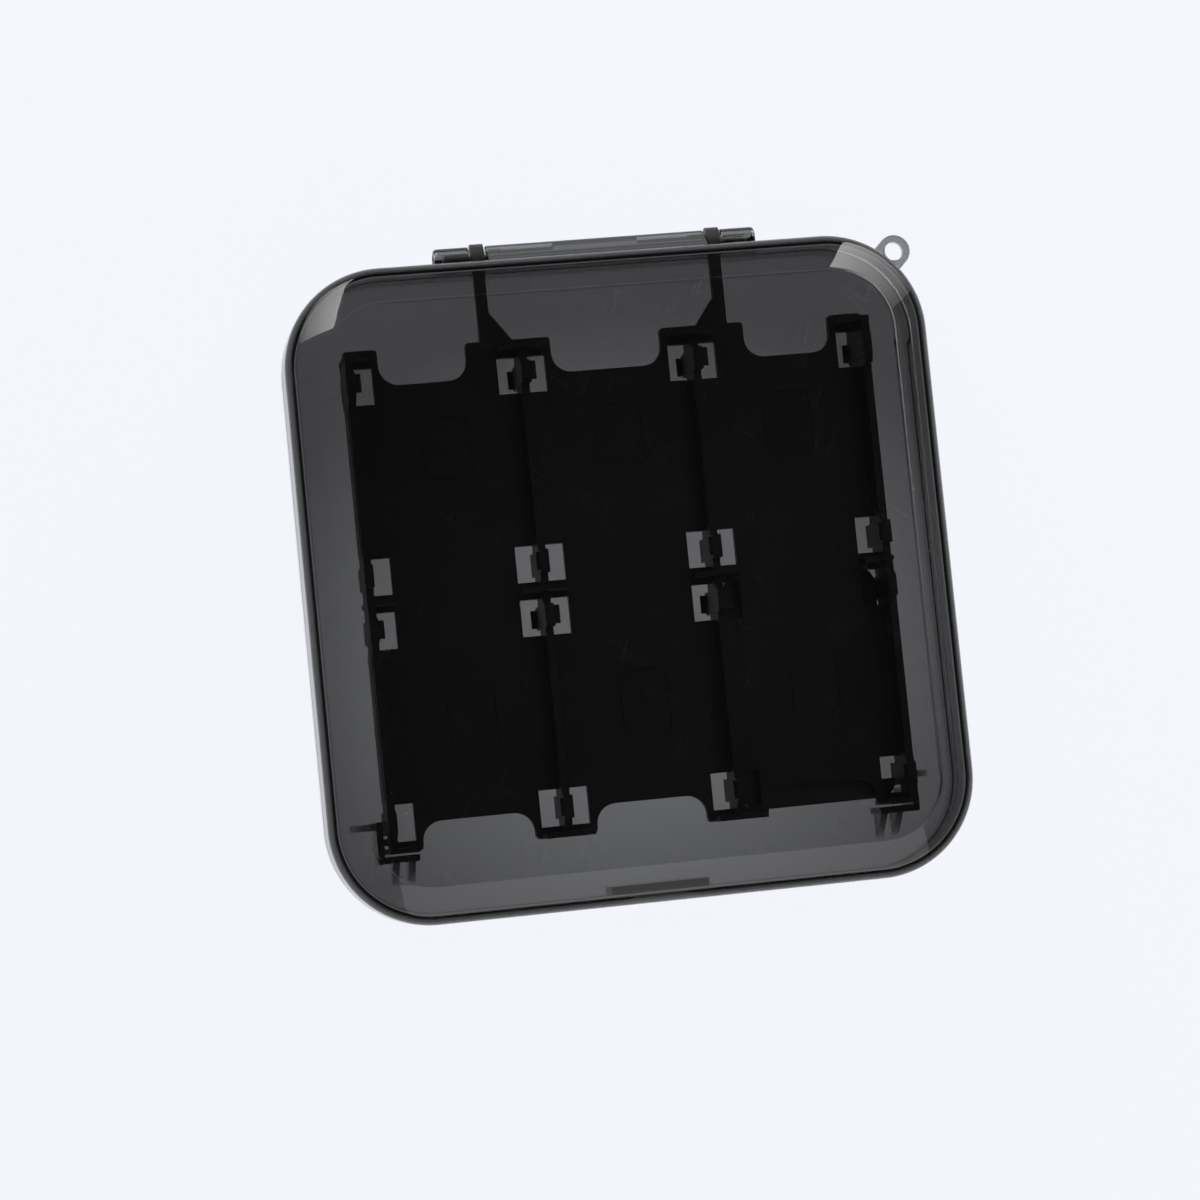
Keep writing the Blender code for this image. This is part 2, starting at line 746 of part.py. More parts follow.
def clip_noses():
    """Hooks on the clip walls, two to a slot on opposite corners, each over a window of its own."""
    bm = bmesh.new()
    for border in range(COLUMNS + 1):
        for row in range(ROWS):
            rear, front = clip_rows(row)
            for face in (1, -1):
                for y, reach, side in ((rear, NOSE_REACH, face), (front, NOSE_REACH_LOW, -face)):
                    if 0 <= border + (side - 1) / 2 < COLUMNS:
                        piece = clip_nose(border_x(border), reach, y, side, face)
                        bm.from_mesh(piece.data)
                        bpy.data.objects.remove(piece, do_unlink=True)
    return from_bmesh("clip noses", bm)


def clip_nose(x, reach, y, side, face):
    """One hook head: a flat-bottomed nose with a slanted brow, over the slot on one side."""
    back = -BORDER / 2 + SHY
    tip = BORDER / 2 + reach
    points = [
        (back, HOOK_TOP - NOSE_T), (tip, HOOK_TOP - NOSE_T), (tip, HOOK_TOP - NOSE_LEAD),
        (tip - NOSE_LEAD, HOOK_TOP), (back, HOOK_TOP)]
    points = [(x + side * u, MID_Z + face * v) for u, v in points]
    return outline_solid("clip nose", [points[::side * face]], NOSE_L, along_y(y))


def card_tray(group, look):
    """Two-sided page with six slots a side, hung from two eyes on the hinge line."""
    tray = outline_solid("card_tray", [tray_outline()], PAGE_T, Matrix.Translation((0, 0, MID_Z)))
    cut(tray, clip_windows())
    join(tray, tray_walls(), clip_noses())
    join(tray, rods("tray eyes", EYE_R, both_sides(EYE_START, EYE_END), AXIS_Y, MID_Z))
    cut(tray, rods(
        "tray bores", BORE_R, both_sides(EYE_START - RUN_GAP, EYE_END + RUN_GAP), AXIS_Y, MID_Z))
    return finish(tray, group, look)


def hinge_pins(group, look):
    """Two short pins, each through an outer knuckle and an eye into the lid's barrel."""
    pins = []
    for name, sign in (("hinge_pin_left", -1), ("hinge_pin_right", 1)):
        ends = sorted((sign * PIN_REACH, sign * (KNUCKLE_END - PIN_END_INSET)))
        pins.append(finish(rods(name, PIN_R, [tuple(ends)], AXIS_Y, MID_Z), group, look))
    return pins


def game_card(group, look):
    """Blank card clipped into the front right slot of the tray's under side."""
    half_w = CARD_W / 2
    half_l = CARD_L / 2
    x = column_x(COLUMNS - 1)
    y = row_y(ROWS - 1)
    low = MID_Z - PAGE_T / 2 - DEPTH_PLAY - CARD_T
    notch_y = -half_l + CARD_NOTCH_UP
    outline = rounded([
        (-half_w, -half_l, CARD_CORNER_R), (half_w, -half_l, CARD_CORNER_R),
        (half_w, notch_y, 0), (half_w - CARD_NOTCH_D, notch_y, 0),
        (half_w - CARD_NOTCH_D, notch_y + CARD_NOTCH_L, 0), (half_w, notch_y + CARD_NOTCH_L, 0),
        (half_w, half_l, CARD_CORNER_R), (-half_w, half_l, CARD_CORNER_R)])
    card = outline_solid("game_card", [outline], CARD_T, Matrix.Translation((x, y, low + CARD_T / 2)))
    side = half_w - LABEL_MARGIN
    label = boxes("label recess", [(
        (x - side, y - half_l + GRIP_BAND, low - WALL),
        (x + side, y + half_l - LABEL_MARGIN, low + LABEL_DEPTH))])
    contact_side = half_w - 2 * LABEL_MARGIN
    contact_end = y + half_l - LABEL_MARGIN
    contacts = boxes("contact recess", [(
        (x - contact_side, contact_end - CONTACT_L, low + CARD_T - CONTACT_DEPTH),
        (x + contact_side, contact_end, low + CARD_T + WALL))])
    cut(card, label, contacts)
    return finish(card, group, look)


def hinge_empty(name):
    """Empty on the hinge line, which carries what turns there."""
    empty = bpy.data.objects.new(name, None)
    empty.location = (0, AXIS_Y, MID_Z)
    empty.empty_display_size = KNUCKLE_END
    bpy.context.scene.collection.objects.link(empty)
    return empty


def hang(pieces, empty):
    """Parent pieces to an empty and leave them where they are."""
    for piece in pieces:
        piece.parent = empty
        piece.matrix_parent_inverse = Matrix.Translation(empty.location).inverted()


def build():
    """Make every piece of the closed case."""
    clear_scene()
    group = "game_card_case"
    smoke = plastic("smoke clear plastic", (0.06, 0.06, 0.065), 0.06, alpha=0.45)
    black = plastic("black tray plastic", (0.012, 0.012, 0.013), 0.42)
    card = plastic("dark card plastic", (0.02, 0.02, 0.022), 0.5)
    steel = plastic("pin steel", (0.45, 0.45, 0.46), 0.3, metallic=1.0)
    base_shell(group, smoke)
    hinge_pins(group, steel)
    lid = lid_shell(group, smoke)
    tray = card_tray(group, black)
    seated = game_card(group, card)
    hang([lid], hinge_empty("lid_axis"))
    hang([tray, seated], hinge_empty("tray_axis"))


build()
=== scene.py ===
"""Looks of a closed clear case for small game cards.

Two smoke-clear shells, a black two-sided tray, one dark card and two steel pins,
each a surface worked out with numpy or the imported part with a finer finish.
"""

import json
import math

import bmesh
import bpy
import numpy as np
from mathutils import Matrix, Vector


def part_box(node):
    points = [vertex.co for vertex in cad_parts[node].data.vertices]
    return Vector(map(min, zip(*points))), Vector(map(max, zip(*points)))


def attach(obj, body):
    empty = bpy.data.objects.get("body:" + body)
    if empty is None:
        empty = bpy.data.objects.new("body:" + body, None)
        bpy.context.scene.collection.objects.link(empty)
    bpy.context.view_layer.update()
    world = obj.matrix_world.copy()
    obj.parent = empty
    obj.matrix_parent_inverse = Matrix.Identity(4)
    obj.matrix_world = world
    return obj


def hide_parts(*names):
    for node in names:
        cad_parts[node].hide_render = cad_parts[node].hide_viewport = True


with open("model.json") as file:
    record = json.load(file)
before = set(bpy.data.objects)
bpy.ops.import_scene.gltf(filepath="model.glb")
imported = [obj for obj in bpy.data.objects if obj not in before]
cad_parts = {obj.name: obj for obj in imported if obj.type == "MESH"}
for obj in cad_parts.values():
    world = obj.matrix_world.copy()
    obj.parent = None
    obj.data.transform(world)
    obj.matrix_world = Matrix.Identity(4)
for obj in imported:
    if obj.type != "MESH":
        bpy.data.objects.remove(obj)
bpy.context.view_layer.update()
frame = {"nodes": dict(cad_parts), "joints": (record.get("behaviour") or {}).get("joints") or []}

MM = 0.001

# Overall sizes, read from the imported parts
LID_LOW, LID_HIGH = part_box("lid_shell")
TRAY_LOW, TRAY_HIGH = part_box("card_tray")
PIN_LOW, PIN_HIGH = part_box("hinge_pin_right")
AXIS_Y = frame["joints"][0]["pos_m"][1]
HALF_W = LID_HIGH.x
HALF_L = -LID_LOW.y
CASE_T = LID_HIGH.z
MID_Z = CASE_T / 2
TRAY_SIDE = TRAY_HIGH.x
TRAY_FRONT = TRAY_LOW.y

# Shell walls: the face's crease, its shallow crown and the edge down to the wall
WALL = 1.5 * MM
CORNER_R = 13.4 * MM
CREASE_R = 1.2 * MM
CREASE_TILT = math.radians(18)
CROWN_R = 19.0 * MM
CROWN_TILT = math.radians(30)
EDGE_R = 2.4 * MM
DRAFT_INSET = 0.12 * MM
RIM_SOFTENING = 0.15 * MM
PARTING_GAP = 0.3 * MM
RUN_GAP = 0.3 * MM
SHY = 0.1 * MM
FLAT_MARGIN = 1.0 * MM
SHELL_H = MID_Z - PARTING_GAP / 2
LID_RIM = CASE_T - SHELL_H

# Rim lip with its rebate, latch tongue and thumb scallop
LIP_T = 0.6 * MM
LIP_H = 1.2 * MM
LIP_TAPER = 0.6 * MM
LATCH_SIDE = 1.5 * MM
TONGUE_W = 13.0 * MM
TONGUE_T = 1.0 * MM
TONGUE_H = 3.75 * MM
TONGUE_ROOT_H = 1.25 * MM
TONGUE_SINK = 0.3 * MM
BEAD_R = 0.5 * MM
BEAD_PROUD = 0.12 * MM
BEAD_W = 11.2 * MM
SCALLOP_W = 13.0 * MM
SCALLOP_D = 0.7 * MM
SCALLOP_H = 1.75 * MM
SCALLOP_RUN_OUT = 1.2
LATCH_HALF = TONGUE_W / 2 + LATCH_SIDE

# Hinge
KNUCKLE_R = 1.45 * MM
EYE_R = 1.75 * MM
BORE_PLAY = 0.1 * MM
BARREL_HALF = 14.75 * MM
BORE_END = 5.7 * MM
EYE_W = 1.7 * MM
KNUCKLE_W = 4.65 * MM
WEB_H = 4.4 * MM
END_ROUND = 0.5 * MM
PIN_R = (PIN_HIGH.z - PIN_LOW.z) / 2
PIN_CHAMFER = 0.2 * MM
EYE_START = BARREL_HALF + RUN_GAP
EYE_END = EYE_START + EYE_W
KNUCKLE_START = EYE_END + RUN_GAP
KNUCKLE_END = KNUCKLE_START + KNUCKLE_W
BORE_R = PIN_R + BORE_PLAY
ARM_START = EYE_START + SHY
ARM_END = EYE_END - SHY
ARM_NOTCH_HALF_T = 0.9 * MM

# Corner guides of the base
GUIDE_T = 0.9 * MM
GUIDE_FRONT_L = 5.4 * MM
GUIDE_SIDE_L = 4.6 * MM
GUIDE_TOP_DROP = 0.3 * MM
GUSSET_T = 0.9 * MM
GUSSET_L = 3.2 * MM
GUSSET_TOE = 0.2 * MM
GUSSET_STEPS = (0.9 * MM, 3.0 * MM)
SIDE_GUSSET_STEP = 4.0 * MM
LEDGE_W = 0.9 * MM
LEDGE_IN = 1.6 * MM
LEDGE_REACH = 1.0 * MM
SINK = 0.25 * MM

# Moulded marks in the floors of the lid side's slots, their middles as (column, row)
MARK_W = 7.6 * MM
MARK_L = 9.2 * MM
MARK_R = 1.4 * MM
MARK_INNER_R = MARK_R / 4
MARK_BAND = 1.3 * MM
MARK_DEPTH = 0.2 * MM
MARK_COLUMNS = (-23.0 * MM, 0.0, 23.0 * MM)
MARK_ROWS = (18.5 * MM, -16.75 * MM)
DOT_R = 0.5 * MM
PAGE_TOP = MID_Z + 0.6 * MM

# Tray's border walls, which run on between the clips: their front and rear ends, and how far
# they stand from the page's middle on the base's and on the lid's side. The base's ledges
# reach under the outer two in front. They are a little thinner than the clips, so that no
# two faces fall on one plane.
BORDER_T = 1.0 * MM
BORDER_PITCH = 23.0 * MM
INNER_WALLS = ((-32.9 * MM, 31.45 * MM, 2.5 * MM, 3.0 * MM),)
OUTER_WALLS = (
    (-32.9 * MM, -0.75 * MM, 0.0, 4.05 * MM), (-30.8 * MM, 31.45 * MM, 2.5 * MM, 3.5 * MM),
    (25.45 * MM, 31.45 * MM, 4.65 * MM, 4.65 * MM))

# Lanyard ring
RING_R = 2.17 * MM
RING_HOLE_R = 1.28 * MM
RING_T = 1.45 * MM
RING_OUT = 2.58 * MM

# Smoothness of the surfaces
CORNER_STEPS = 32
ARC_STEPS = 12
ROUND_STEPS = 64
CREASE_STEPS = 6
CROWN_STEPS = 8
EDGE_STEPS = 12
RIM_STEPS = 4
END_STEPS = 6
BARREL_STEPS = 36
SCALLOP_STEPS = 24
RING_STEPS = 32
HOLE_STEPS = 48
MARK_STEPS = 6
DOT_STEPS = 16
SHARP = math.radians(28)
SOFTENED_ANGLE = math.radians(30)
EDGE_SOFTENING = 0.12 * MM

# Points this close are one: in a new surface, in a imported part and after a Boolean. Packed
# faces are one where they bend by less than the level angle.
SEAM = 1e-7
PACKED_SEAM = 1e-6
WELD = 0.03 * MM
LEVEL_ANGLE = math.radians(1)

# View and studio, in metres and degrees
VIEW_AIM = (-3.948 * MM, -2.660 * MM, MID_Z)
VIEW_AZIMUTH = -69.15
VIEW_ELEVATION = 80.25
VIEW_DISTANCE = 0.436
VIEW_TURN = 5.731
LENS = 99.0
SENSOR = 36.0
NEAREST = 0.01
FLOOR_DROP = 0.2 * MM
FLOOR_SIZE = 6.0
FLOOR_COLOUR = (0.915, 0.93, 0.985)
FLOOR_GLOW = 0.97
FLOOR_PALE = 0.03
ROOM_TINT = (0.98, 1.0, 1.03)
ROOM_TOP = 0.04
ROOM_SIDE = 0.075
ROOM_HORIZON = 0.5
ROOM_RING = 0.36
SIDE_BAND = (0.55, 0.8)
HORIZON_BAND = (0.1, 0.3)
RING_RISE = (0.80, 0.83)
RING_FALL = (0.92, 0.95)
RING_LEFT_END = (-0.35, -0.2)
SOFTBOX_DISTANCE = 0.6
# Name, bearing, elevation, roll, width, height, radiance at the low and the high bearing
SOFTBOXES = (
    ("left softbox", 123.0, 24.0, 37.0, 0.28, 0.46, 5.8, 1.0),
    ("right softbox", 45.0, 22.0, 0.0, 0.41, 0.46, 0.8, 5.8),
    ("upper strip", 22.0, 56.0, 0.0, 0.31, 0.18, 0.2, 6.0),
    ("front card", -76.0, 40.0, 0.0, 0.6, 0.36, 0.85, 0.85))

# Smoke-clear plastic: depth of its grey, and its colour with painted light and shade: palest inside an
# oval before the middle, painted darker outwards
SMOKE_DENSITY = 631.0
PAINTED_LIGHT_MIDDLE_Y = -10.0 * MM
PAINTED_LIGHT_REACH_X = 53.0 * MM
PAINTED_LIGHT_REACH_Y = 46.0 * MM
PAINTED_LIGHT_CORE = 0.45
PAINTED_EDGE_SHADE = 0.67

# Handling marks: hairlines as (scale, turn in degrees, least peak), specks of dust and waves
HAIRLINES = ((6500.0, 24, 0.7), (6000.0, -50, 0.72))
HAIRLINE_STRETCH = 0.018
HAIRLINE_EDGE = 0.05
HAIRLINE_BREAKS = 130.0
HAIRLINE_KEPT = (0.54, 0.62)
HAIRLINE_DEPTH = 0.3
SPECK_SCALE = 420.0
SPECK_SIZE = (0.02, 0.09)
DUSTY_SCALE = 90.0
DUSTY_KEPT = (0.55, 0.62)
WAVE_SCALE = 28.0

# Moulded grain: how far it and the slow mottling change the tone and the roughness
MOTTLING_SCALE = 120.0
GRAIN_TONE = 0.3
MOTTLING_ROUGHNESS = 0.4
BUMP_DEPTH = 0.02 * MM


def new_object(name, mesh):
    """Link an object for a mesh that is already in its place."""
    piece = bpy.data.objects.new(name, mesh)
    bpy.context.scene.collection.objects.link(piece)
    return piece


def closed_mesh(name, points, quads, caps):
    """Mesh of an array of points, an array of quads and the end faces, with its normals outwards."""
    mesh = bpy.data.meshes.new(name)
    mesh.from_pydata(points.tolist(), [], quads.tolist() + [cap.tolist() for cap in caps])
    bm = bmesh.new()
    bm.from_mesh(mesh)
    bmesh.ops.remove_doubles(bm, verts=bm.verts, dist=SEAM)
    bmesh.ops.recalc_face_normals(bm, faces=bm.faces)
    bm.to_mesh(mesh)
    bm.free()
    return mesh


def sweep(name, path, profile, ring=False, loop=False):
    """Carry a profile (u, v) along a path: point = origin + u * side + v * up.

    A ring path joins its last station to its first, a looped profile its last point to
    its first. What stays open is closed by a flat face at each end.
    """
    origin, side, up = path
    u, v = np.asarray(profile, float).T
    across = u[None, :, None] * side[:, None, :]
    upwards = v[None, :, None] * up[:, None, :]
    return skin(name, origin[:, None, :] + across + upwards, ring, loop)


def skin(name, points, ring=False, loop=False):
    """Quads between the neighbours of a grid of points, station by station."""
    stations, steps = points.shape[:2]
    i = np.arange(stations if ring else stations - 1)[:, None]
    j = np.arange(steps if loop else steps - 1)[None, :]
    near = i * steps
    far = (i + 1) % stations * steps
    ahead = (j + 1) % steps
    quads = np.stack([near + j, far + j, far + ahead, near + ahead], axis=-1).reshape(-1, 4)
    caps = []
    if ring and not loop:
        rounds = np.arange(stations) * steps
        caps = [rounds, rounds + steps - 1]
    if loop and not ring:
        rounds = np.arange(steps)
        caps = [rounds, rounds + (stations - 1) * steps]
    return new_object(name, closed_mesh(name, points.reshape(-1, 3), quads, caps))


def arc(centre, radius, start, end, steps=ARC_STEPS):
    """Points centre + radius * (cos a, sin a), with the angle a in degrees from start to end."""
    a = np.radians(np.linspace(start, end, steps + 1))
    return np.asarray(centre) + radius * np.column_stack([np.cos(a), np.sin(a)])


def case_outline(end, latch):
    """Stations round the case as (centre x, centre y), angle of the normal and rim step, 0 or 1.

    At a corner the centre stays and the normal turns a quarter. The rim is stepped along the
    sides and the front, from this end below the rear corners to this half width at the latch.
    """
    x = HALF_W - CORNER_R
    y = HALF_L - CORNER_R
    turn = np.linspace(0, 90, CORNER_STEPS + 1)
    rear = y - end
    runs = (
        ([(x, y)], turn, 0), ([(-x, y)], turn + 90, 0),
        ([(-x, rear)], [180], 0), ([(-x, rear - LIP_TAPER)], [180], 1),
        ([(-x, -y)], turn + 180, 1),
        ([(-latch - LIP_TAPER, -y)], [270], 1), ([(-latch, -y), (latch, -y)], [270, 270], 0),
        ([(latch + LIP_TAPER, -y)], [270], 1),
        ([(x, -y)], turn + 270, 1),
        ([(x, rear - LIP_TAPER)], [360], 1), ([(x, rear)], [360], 0))
    centre = np.vstack([np.broadcast_to(places, (len(angles), 2)) for places, angles, _ in runs])
    angle = np.radians(np.concatenate([angles for _, angles, _ in runs]))
    step = np.concatenate([np.full(len(angles), float(stepped)) for _, angles, stepped in runs])
    return centre, angle, step


def straight_path(start, end, side, up):
    """Two stations from start to end with constant side and up vectors."""
    return np.array([start, end], float), np.array([side, side], float), np.array([up, up], float)


def hinge_path(start, end, start_round, end_round):
    """Stations along the hinge line whose sections shrink round both ends by a quarter circle.

    At an angle a from the end's plane the section is smaller by r * (1 - sin a) of its radius
    and lies r * (1 - cos a) inside the end.
    """
    a = np.radians(np.linspace(0, 90, END_STEPS + 1))
    inset = 1 - np.cos(a)
    x = np.concatenate([start + start_round * inset, end - end_round * inset[::-1]])
    loss = np.concatenate([start_round * (1 - np.sin(a)), end_round * (1 - np.sin(a[::-1]))])
    scale = 1 - loss / KNUCKLE_R
    zero = np.zeros_like(x)
    origin = np.column_stack([x, zero + AXIS_Y, zero + MID_Z])
    return origin, np.column_stack([zero, scale, zero]), np.column_stack([zero, zero, scale])


def ring_path(centre, radius_axis, other_axis):
    """Stations round a centre: side = cos a * one axis + sin a * the other, up = their product."""
    a = np.linspace(0, 2 * math.pi, ROUND_STEPS, endpoint=False)[:, None]
    one = np.asarray(radius_axis, float)
    two = np.asarray(other_axis, float)
    side = np.cos(a) * one + np.sin(a) * two
    origin = np.tile(np.asarray(centre, float), (len(a), 1))
    return origin, side, np.tile(np.cross(one, two), (len(a), 1))


def turned(name, centre, profile):
    """Round solid along X: a profile of (radius, distance along X) turned about the centre."""
    return sweep(name, ring_path(centre, (0, 1, 0), (0, 0, 1)), profile, ring=True)


def rod(name, start, end, radius, y=AXIS_Y, z=MID_Z):
    """Plain round rod along X."""
    return turned(name, (0, y, z), [(radius, start), (radius, end)])


def prism(name, outline, low, high):
    """Upright prism of an outline (x, y) between two heights."""
    path = straight_path((0, 0, low), (0, 0, high), (1, 0, 0), (0, 1, 0))
    return sweep(name, path, outline, loop=True)


def block(name, low, high):
    """Upright block between two corners."""
    x0, y0, z0 = low
    x1, y1, z1 = high
    return prism(name, [(x0, y0), (x1, y0), (x1, y1), (x0, y1)], z0, z1)


def rib(name, outline, middle, axis):
    """Rib of an outline (u, z) across the middle of X or Y, as thick as a gusset."""
    half = GUSSET_T / 2
    if axis == "X":
        path = straight_path((middle - half, 0, 0), (middle + half, 0, 0), (0, 1, 0), (0, 0, 1))
    else:
        path = straight_path((0, middle - half, 0), (0, middle + half, 0), (1, 0, 0), (0, 0, 1))
    return sweep(name, path, outline, loop=True)


def combine(piece, fused=(), cut=()):
    """Fuse and cut helpers with exact Booleans, keep the result as the piece's own mesh."""
    for operation, helpers in (("UNION", fused), ("DIFFERENCE", cut)):
        for helper in helpers:
            step = piece.modifiers.new(helper.name, "BOOLEAN")
            step.operation = operation
            step.solver = "EXACT"
            step.object = helper
    graph = bpy.context.evaluated_depsgraph_get()
    mesh = bpy.data.meshes.new_from_object(piece.evaluated_get(graph))
    piece.modifiers.clear()
    piece.data = mesh
    for helper in (*fused, *cut):
        bpy.data.objects.remove(helper, do_unlink=True)
    return piece


def smooth(piece):
    """Shade smooth with sharp edges kept, the normals weighted by the faces' areas."""
    piece.data.shade_smooth()
    piece.data.set_sharp_from_angle(angle=SHARP)
    weighted = piece.modifiers.new("weighted normals", "WEIGHTED_NORMAL")
    weighted.keep_sharp = True
    return piece


def offset(points, distance):
    """Move each point of a line to its left by the distance, mitred where the line bends."""
    along = np.diff(points, axis=0)
    along /= np.linalg.norm(along, axis=1, keepdims=True)
    left = np.column_stack([-along[:, 1], along[:, 0]])
    before = np.vstack([left[:1], left])
    after = np.vstack([left, left[-1:]])
    mitre = before + after
    return points + distance * 2 * mitre / (mitre ** 2).sum(axis=1, keepdims=True)


def crown_line():
    """Outer face's edge as (inset, height), from the flat outwards.

    Three tangent arcs tilt the surface from level to upright: the crease, the shallow crown
    and the edge. An arc of radius r between tilts s and t runs r * (sin t - sin s) outwards
    and r * (cos s - cos t) down.
    """
    arcs = (
        (CREASE_R, 0.0, CREASE_TILT, CREASE_STEPS), (CROWN_R, CREASE_TILT, CROWN_TILT, CROWN_STEPS),
        (EDGE_R, CROWN_TILT, math.pi / 2, EDGE_STEPS))
    outwards = [np.zeros(1)]
    down = [np.zeros(1)]
    for radius, first, last, steps in arcs:
        tilt = np.linspace(first, last, steps + 1)[1:]
        outwards.append(outwards[-1][-1] + radius * (np.sin(tilt) - math.sin(first)))
        down.append(down[-1][-1] + radius * (math.cos(first) - np.cos(tilt)))
    outwards = np.concatenate(outwards)
    return np.column_stack([DRAFT_INSET + outwards[-1] - outwards, np.concatenate(down)])


def wall_lines():
    """Outer and inner line of the wall as (inset, height), both from the face to the rim.

    The inner line is the outer one moved in by the wall, without the points that fold back
    where the crease is tighter than the wall.
    """
    crown = crown_line()
    flat = (crown[0, 0] + FLAT_MARGIN, 0.0)
    outer = np.vstack([flat, crown, (0.0, SHELL_H)])
    inner = offset(outer, -WALL)[:-1]
    least = np.minimum.accumulate(np.append(np.inf, inner[:-1, 0]))
    return outer[:-1], inner[inner[:, 0] < least]


def rim_line(step, rise):
    """Rim from outside to inside as (inset, height, lift), heights counted from the rim.

    The lift is added where the rim is stepped: the inner part then stands proud as the lid's
    lip or, with a negative rise, lies back as the base's rebate.
    """
    soft = RIM_SOFTENING
    outside = arc((soft, -soft), soft, 180, 90, RIM_STEPS)
    inside = arc((WALL - soft, -soft), soft, 90, 0, RIM_STEPS)
    if rise > 0:
        top = arc((step + soft, rise - soft), soft, 180, 90, RIM_STEPS)
        bend = np.vstack([(step, 0.0), (step, rise - soft), top])
    else:
        bend = np.vstack([arc((step - soft, -soft), soft, 90, 0, RIM_STEPS), (step, rise)])
    middle = np.column_stack([bend[:, 0], np.zeros(len(bend)), bend[:, 1]])
    return np.vstack([
        np.column_stack([outside, np.zeros(len(outside))]), middle,
        np.column_stack([inside, np.full(len(inside), rise)])])


def shell(name, stations, step, rise):
    """Open tray-shaped shell with its face down: the wall's section carried round the outline.

    Point = centre + (corner radius - inset) * normal, at the height + lift * rim step.
    """
    centre, angle, stepped = stations
    outer, inner = wall_lines()
    rim = rim_line(step, rise)
    inset = np.concatenate([outer[:, 0], rim[:, 0], inner[::-1, 0]])
    height = np.concatenate([outer[:, 1], SHELL_H + rim[:, 1], inner[::-1, 1]])
    lift = np.concatenate([np.zeros(len(outer)), rim[:, 2], np.zeros(len(inner))])
    reach = CORNER_R - inset[None, :]
    points = np.stack([
        centre[:, :1] + reach * np.cos(angle)[:, None], centre[:, 1:] + reach * np.sin(angle)[:, None],
        height[None, :] + lift[None, :] * stepped[:, None]], axis=-1)
    return skin(name, points, ring=True)


def turn_over(piece):
    """Turn a shell over about the case's long axis, so its face is the lid's."""
    turn = Matrix.Translation((0, 0, CASE_T)) @ Matrix.Rotation(math.pi, 4, "Y")
    piece.data.transform(turn)
    return piece


def knuckle_section(side):
    """Knuckle with its web to the wall, about the hinge line, as (outwards, up).

    A straight web runs from inside the wall to where it touches the round, the round goes
    on under the pin, and a level line leads back to the wall. Side is 1 for the lid and -1
    for the base.
    """
    root = np.array((HALF_L - WALL / 2 - AXIS_Y, WEB_H))
    reach = float(np.hypot(*root))
    touch = math.degrees(math.atan2(root[1], root[0]) - math.acos(KNUCKLE_R / reach))
    level = PARTING_GAP / 2 + SHY
    under = math.degrees(math.asin(level / KNUCKLE_R))
    barrel = arc((0, 0), KNUCKLE_R, touch, under - 180, BARREL_STEPS)
    section = np.vstack([root, barrel, (root[0], level)])
    return section * (1, side)


def knuckle(name, start, end, side, rounds):
    """Knuckle between two places on the hinge line, with rounded ends."""
    return sweep(name, hinge_path(start, end, *rounds), knuckle_section(side), loop=True)


def arm_notches(low, high):
    """Cutters for the slots in a rear rim where the tray's arms pass."""
    inner = HALF_L - 1.5 * WALL
    cutters = []
    for sign in (-1, 1):
        x0, x1 = sorted((sign * (ARM_START - RUN_GAP), sign * (ARM_END + RUN_GAP)))
        cutters.append(block("arm notch", (x0, inner, low), (x1, AXIS_Y, high)))
    return cutters


def eye_relief(sign, start, end):
    """Cutter for the round room beside a tray's eye."""
    x0, x1 = sorted((sign * start, sign * end))
    return rod("eye relief", x0, x1, EYE_R + RUN_GAP)


def tongue_and_bead():
    """Springy latch tongue at the middle of the front, with the round bead near its tip."""
    outer = -HALF_L + WALL + RUN_GAP
    root = -HALF_L + WALL - TONGUE_SINK
    low = SHELL_H - TONGUE_H
    root_low = LID_RIM + SHY
    root_top = root_low + TONGUE_ROOT_H
    section = [
        (outer, low), (outer + TONGUE_T, low), (outer + TONGUE_T, root_top), (root, root_top),
        (root, root_low), (outer, root_low)]
    half = TONGUE_W / 2
    path = straight_path((-half, 0, 0), (half, 0, 0), (0, 1, 0), (0, 0, 1))
    return [sweep("latch tongue", path, section, loop=True), bead("latch bead", BEAD_R, BEAD_W)]


def bead(name, radius, width):
    """Rod along the latch, which is the bead or, with more radius, its groove."""
    y = -HALF_L + WALL + RUN_GAP - BEAD_PROUD + BEAD_R
    z = SHELL_H - TONGUE_H + 2 * BEAD_R
    return rod(name, -width / 2, width / 2, radius, y, z)


def lid_piece():
    """Lid with the middle barrel and its two blind bores, the rim lip and the latch tongue."""
    stations = case_outline(2 * LIP_TAPER, LATCH_HALF + LIP_TAPER)
    lid = turn_over(shell("clear_lid", stations, WALL - LIP_T, PARTING_GAP + LIP_H))
    reliefs = [eye_relief(sign, BARREL_HALF - 2 * SHY, KNUCKLE_START) for sign in (1, -1)]
    for sign in (-1, 1):
        x0, x1 = sorted((sign * (BARREL_HALF - SHY), sign * (KNUCKLE_END + RUN_GAP)))
        reliefs.append(rod("knuckle relief", x0, x1, KNUCKLE_R + RUN_GAP))
    combine(lid, cut=reliefs + arm_notches(LID_RIM - WALL, MID_Z + ARM_NOTCH_HALF_T))
    barrel = knuckle("lid barrel", -BARREL_HALF, BARREL_HALF, 1, (END_ROUND / 2, END_ROUND / 2))
    bores = [rod("bore", *sorted((sign * BORE_END, sign * KNUCKLE_END)), BORE_R) for sign in (-1, 1)]
    return combine(lid, fused=[barrel, *tongue_and_bead()], cut=bores)


def thumb_scallop():
    """Cutter for the shallow arc in the base's front rim."""
    radius = (SCALLOP_W ** 2 / 4 + SCALLOP_D ** 2) / (2 * SCALLOP_D)
    middle = (0.0, -HALF_L - radius + SCALLOP_D)
    half = math.degrees(math.asin(SCALLOP_W / 2 / radius)) * SCALLOP_RUN_OUT
    bow = arc(middle, radius, 90 + half, 90 - half, SCALLOP_STEPS)
    outline = np.vstack([(bow[0, 0], -HALF_L - WALL), bow, (bow[-1, 0], -HALF_L - WALL)])
    return prism("thumb scallop", outline, SHELL_H - SCALLOP_H, SHELL_H + WALL)


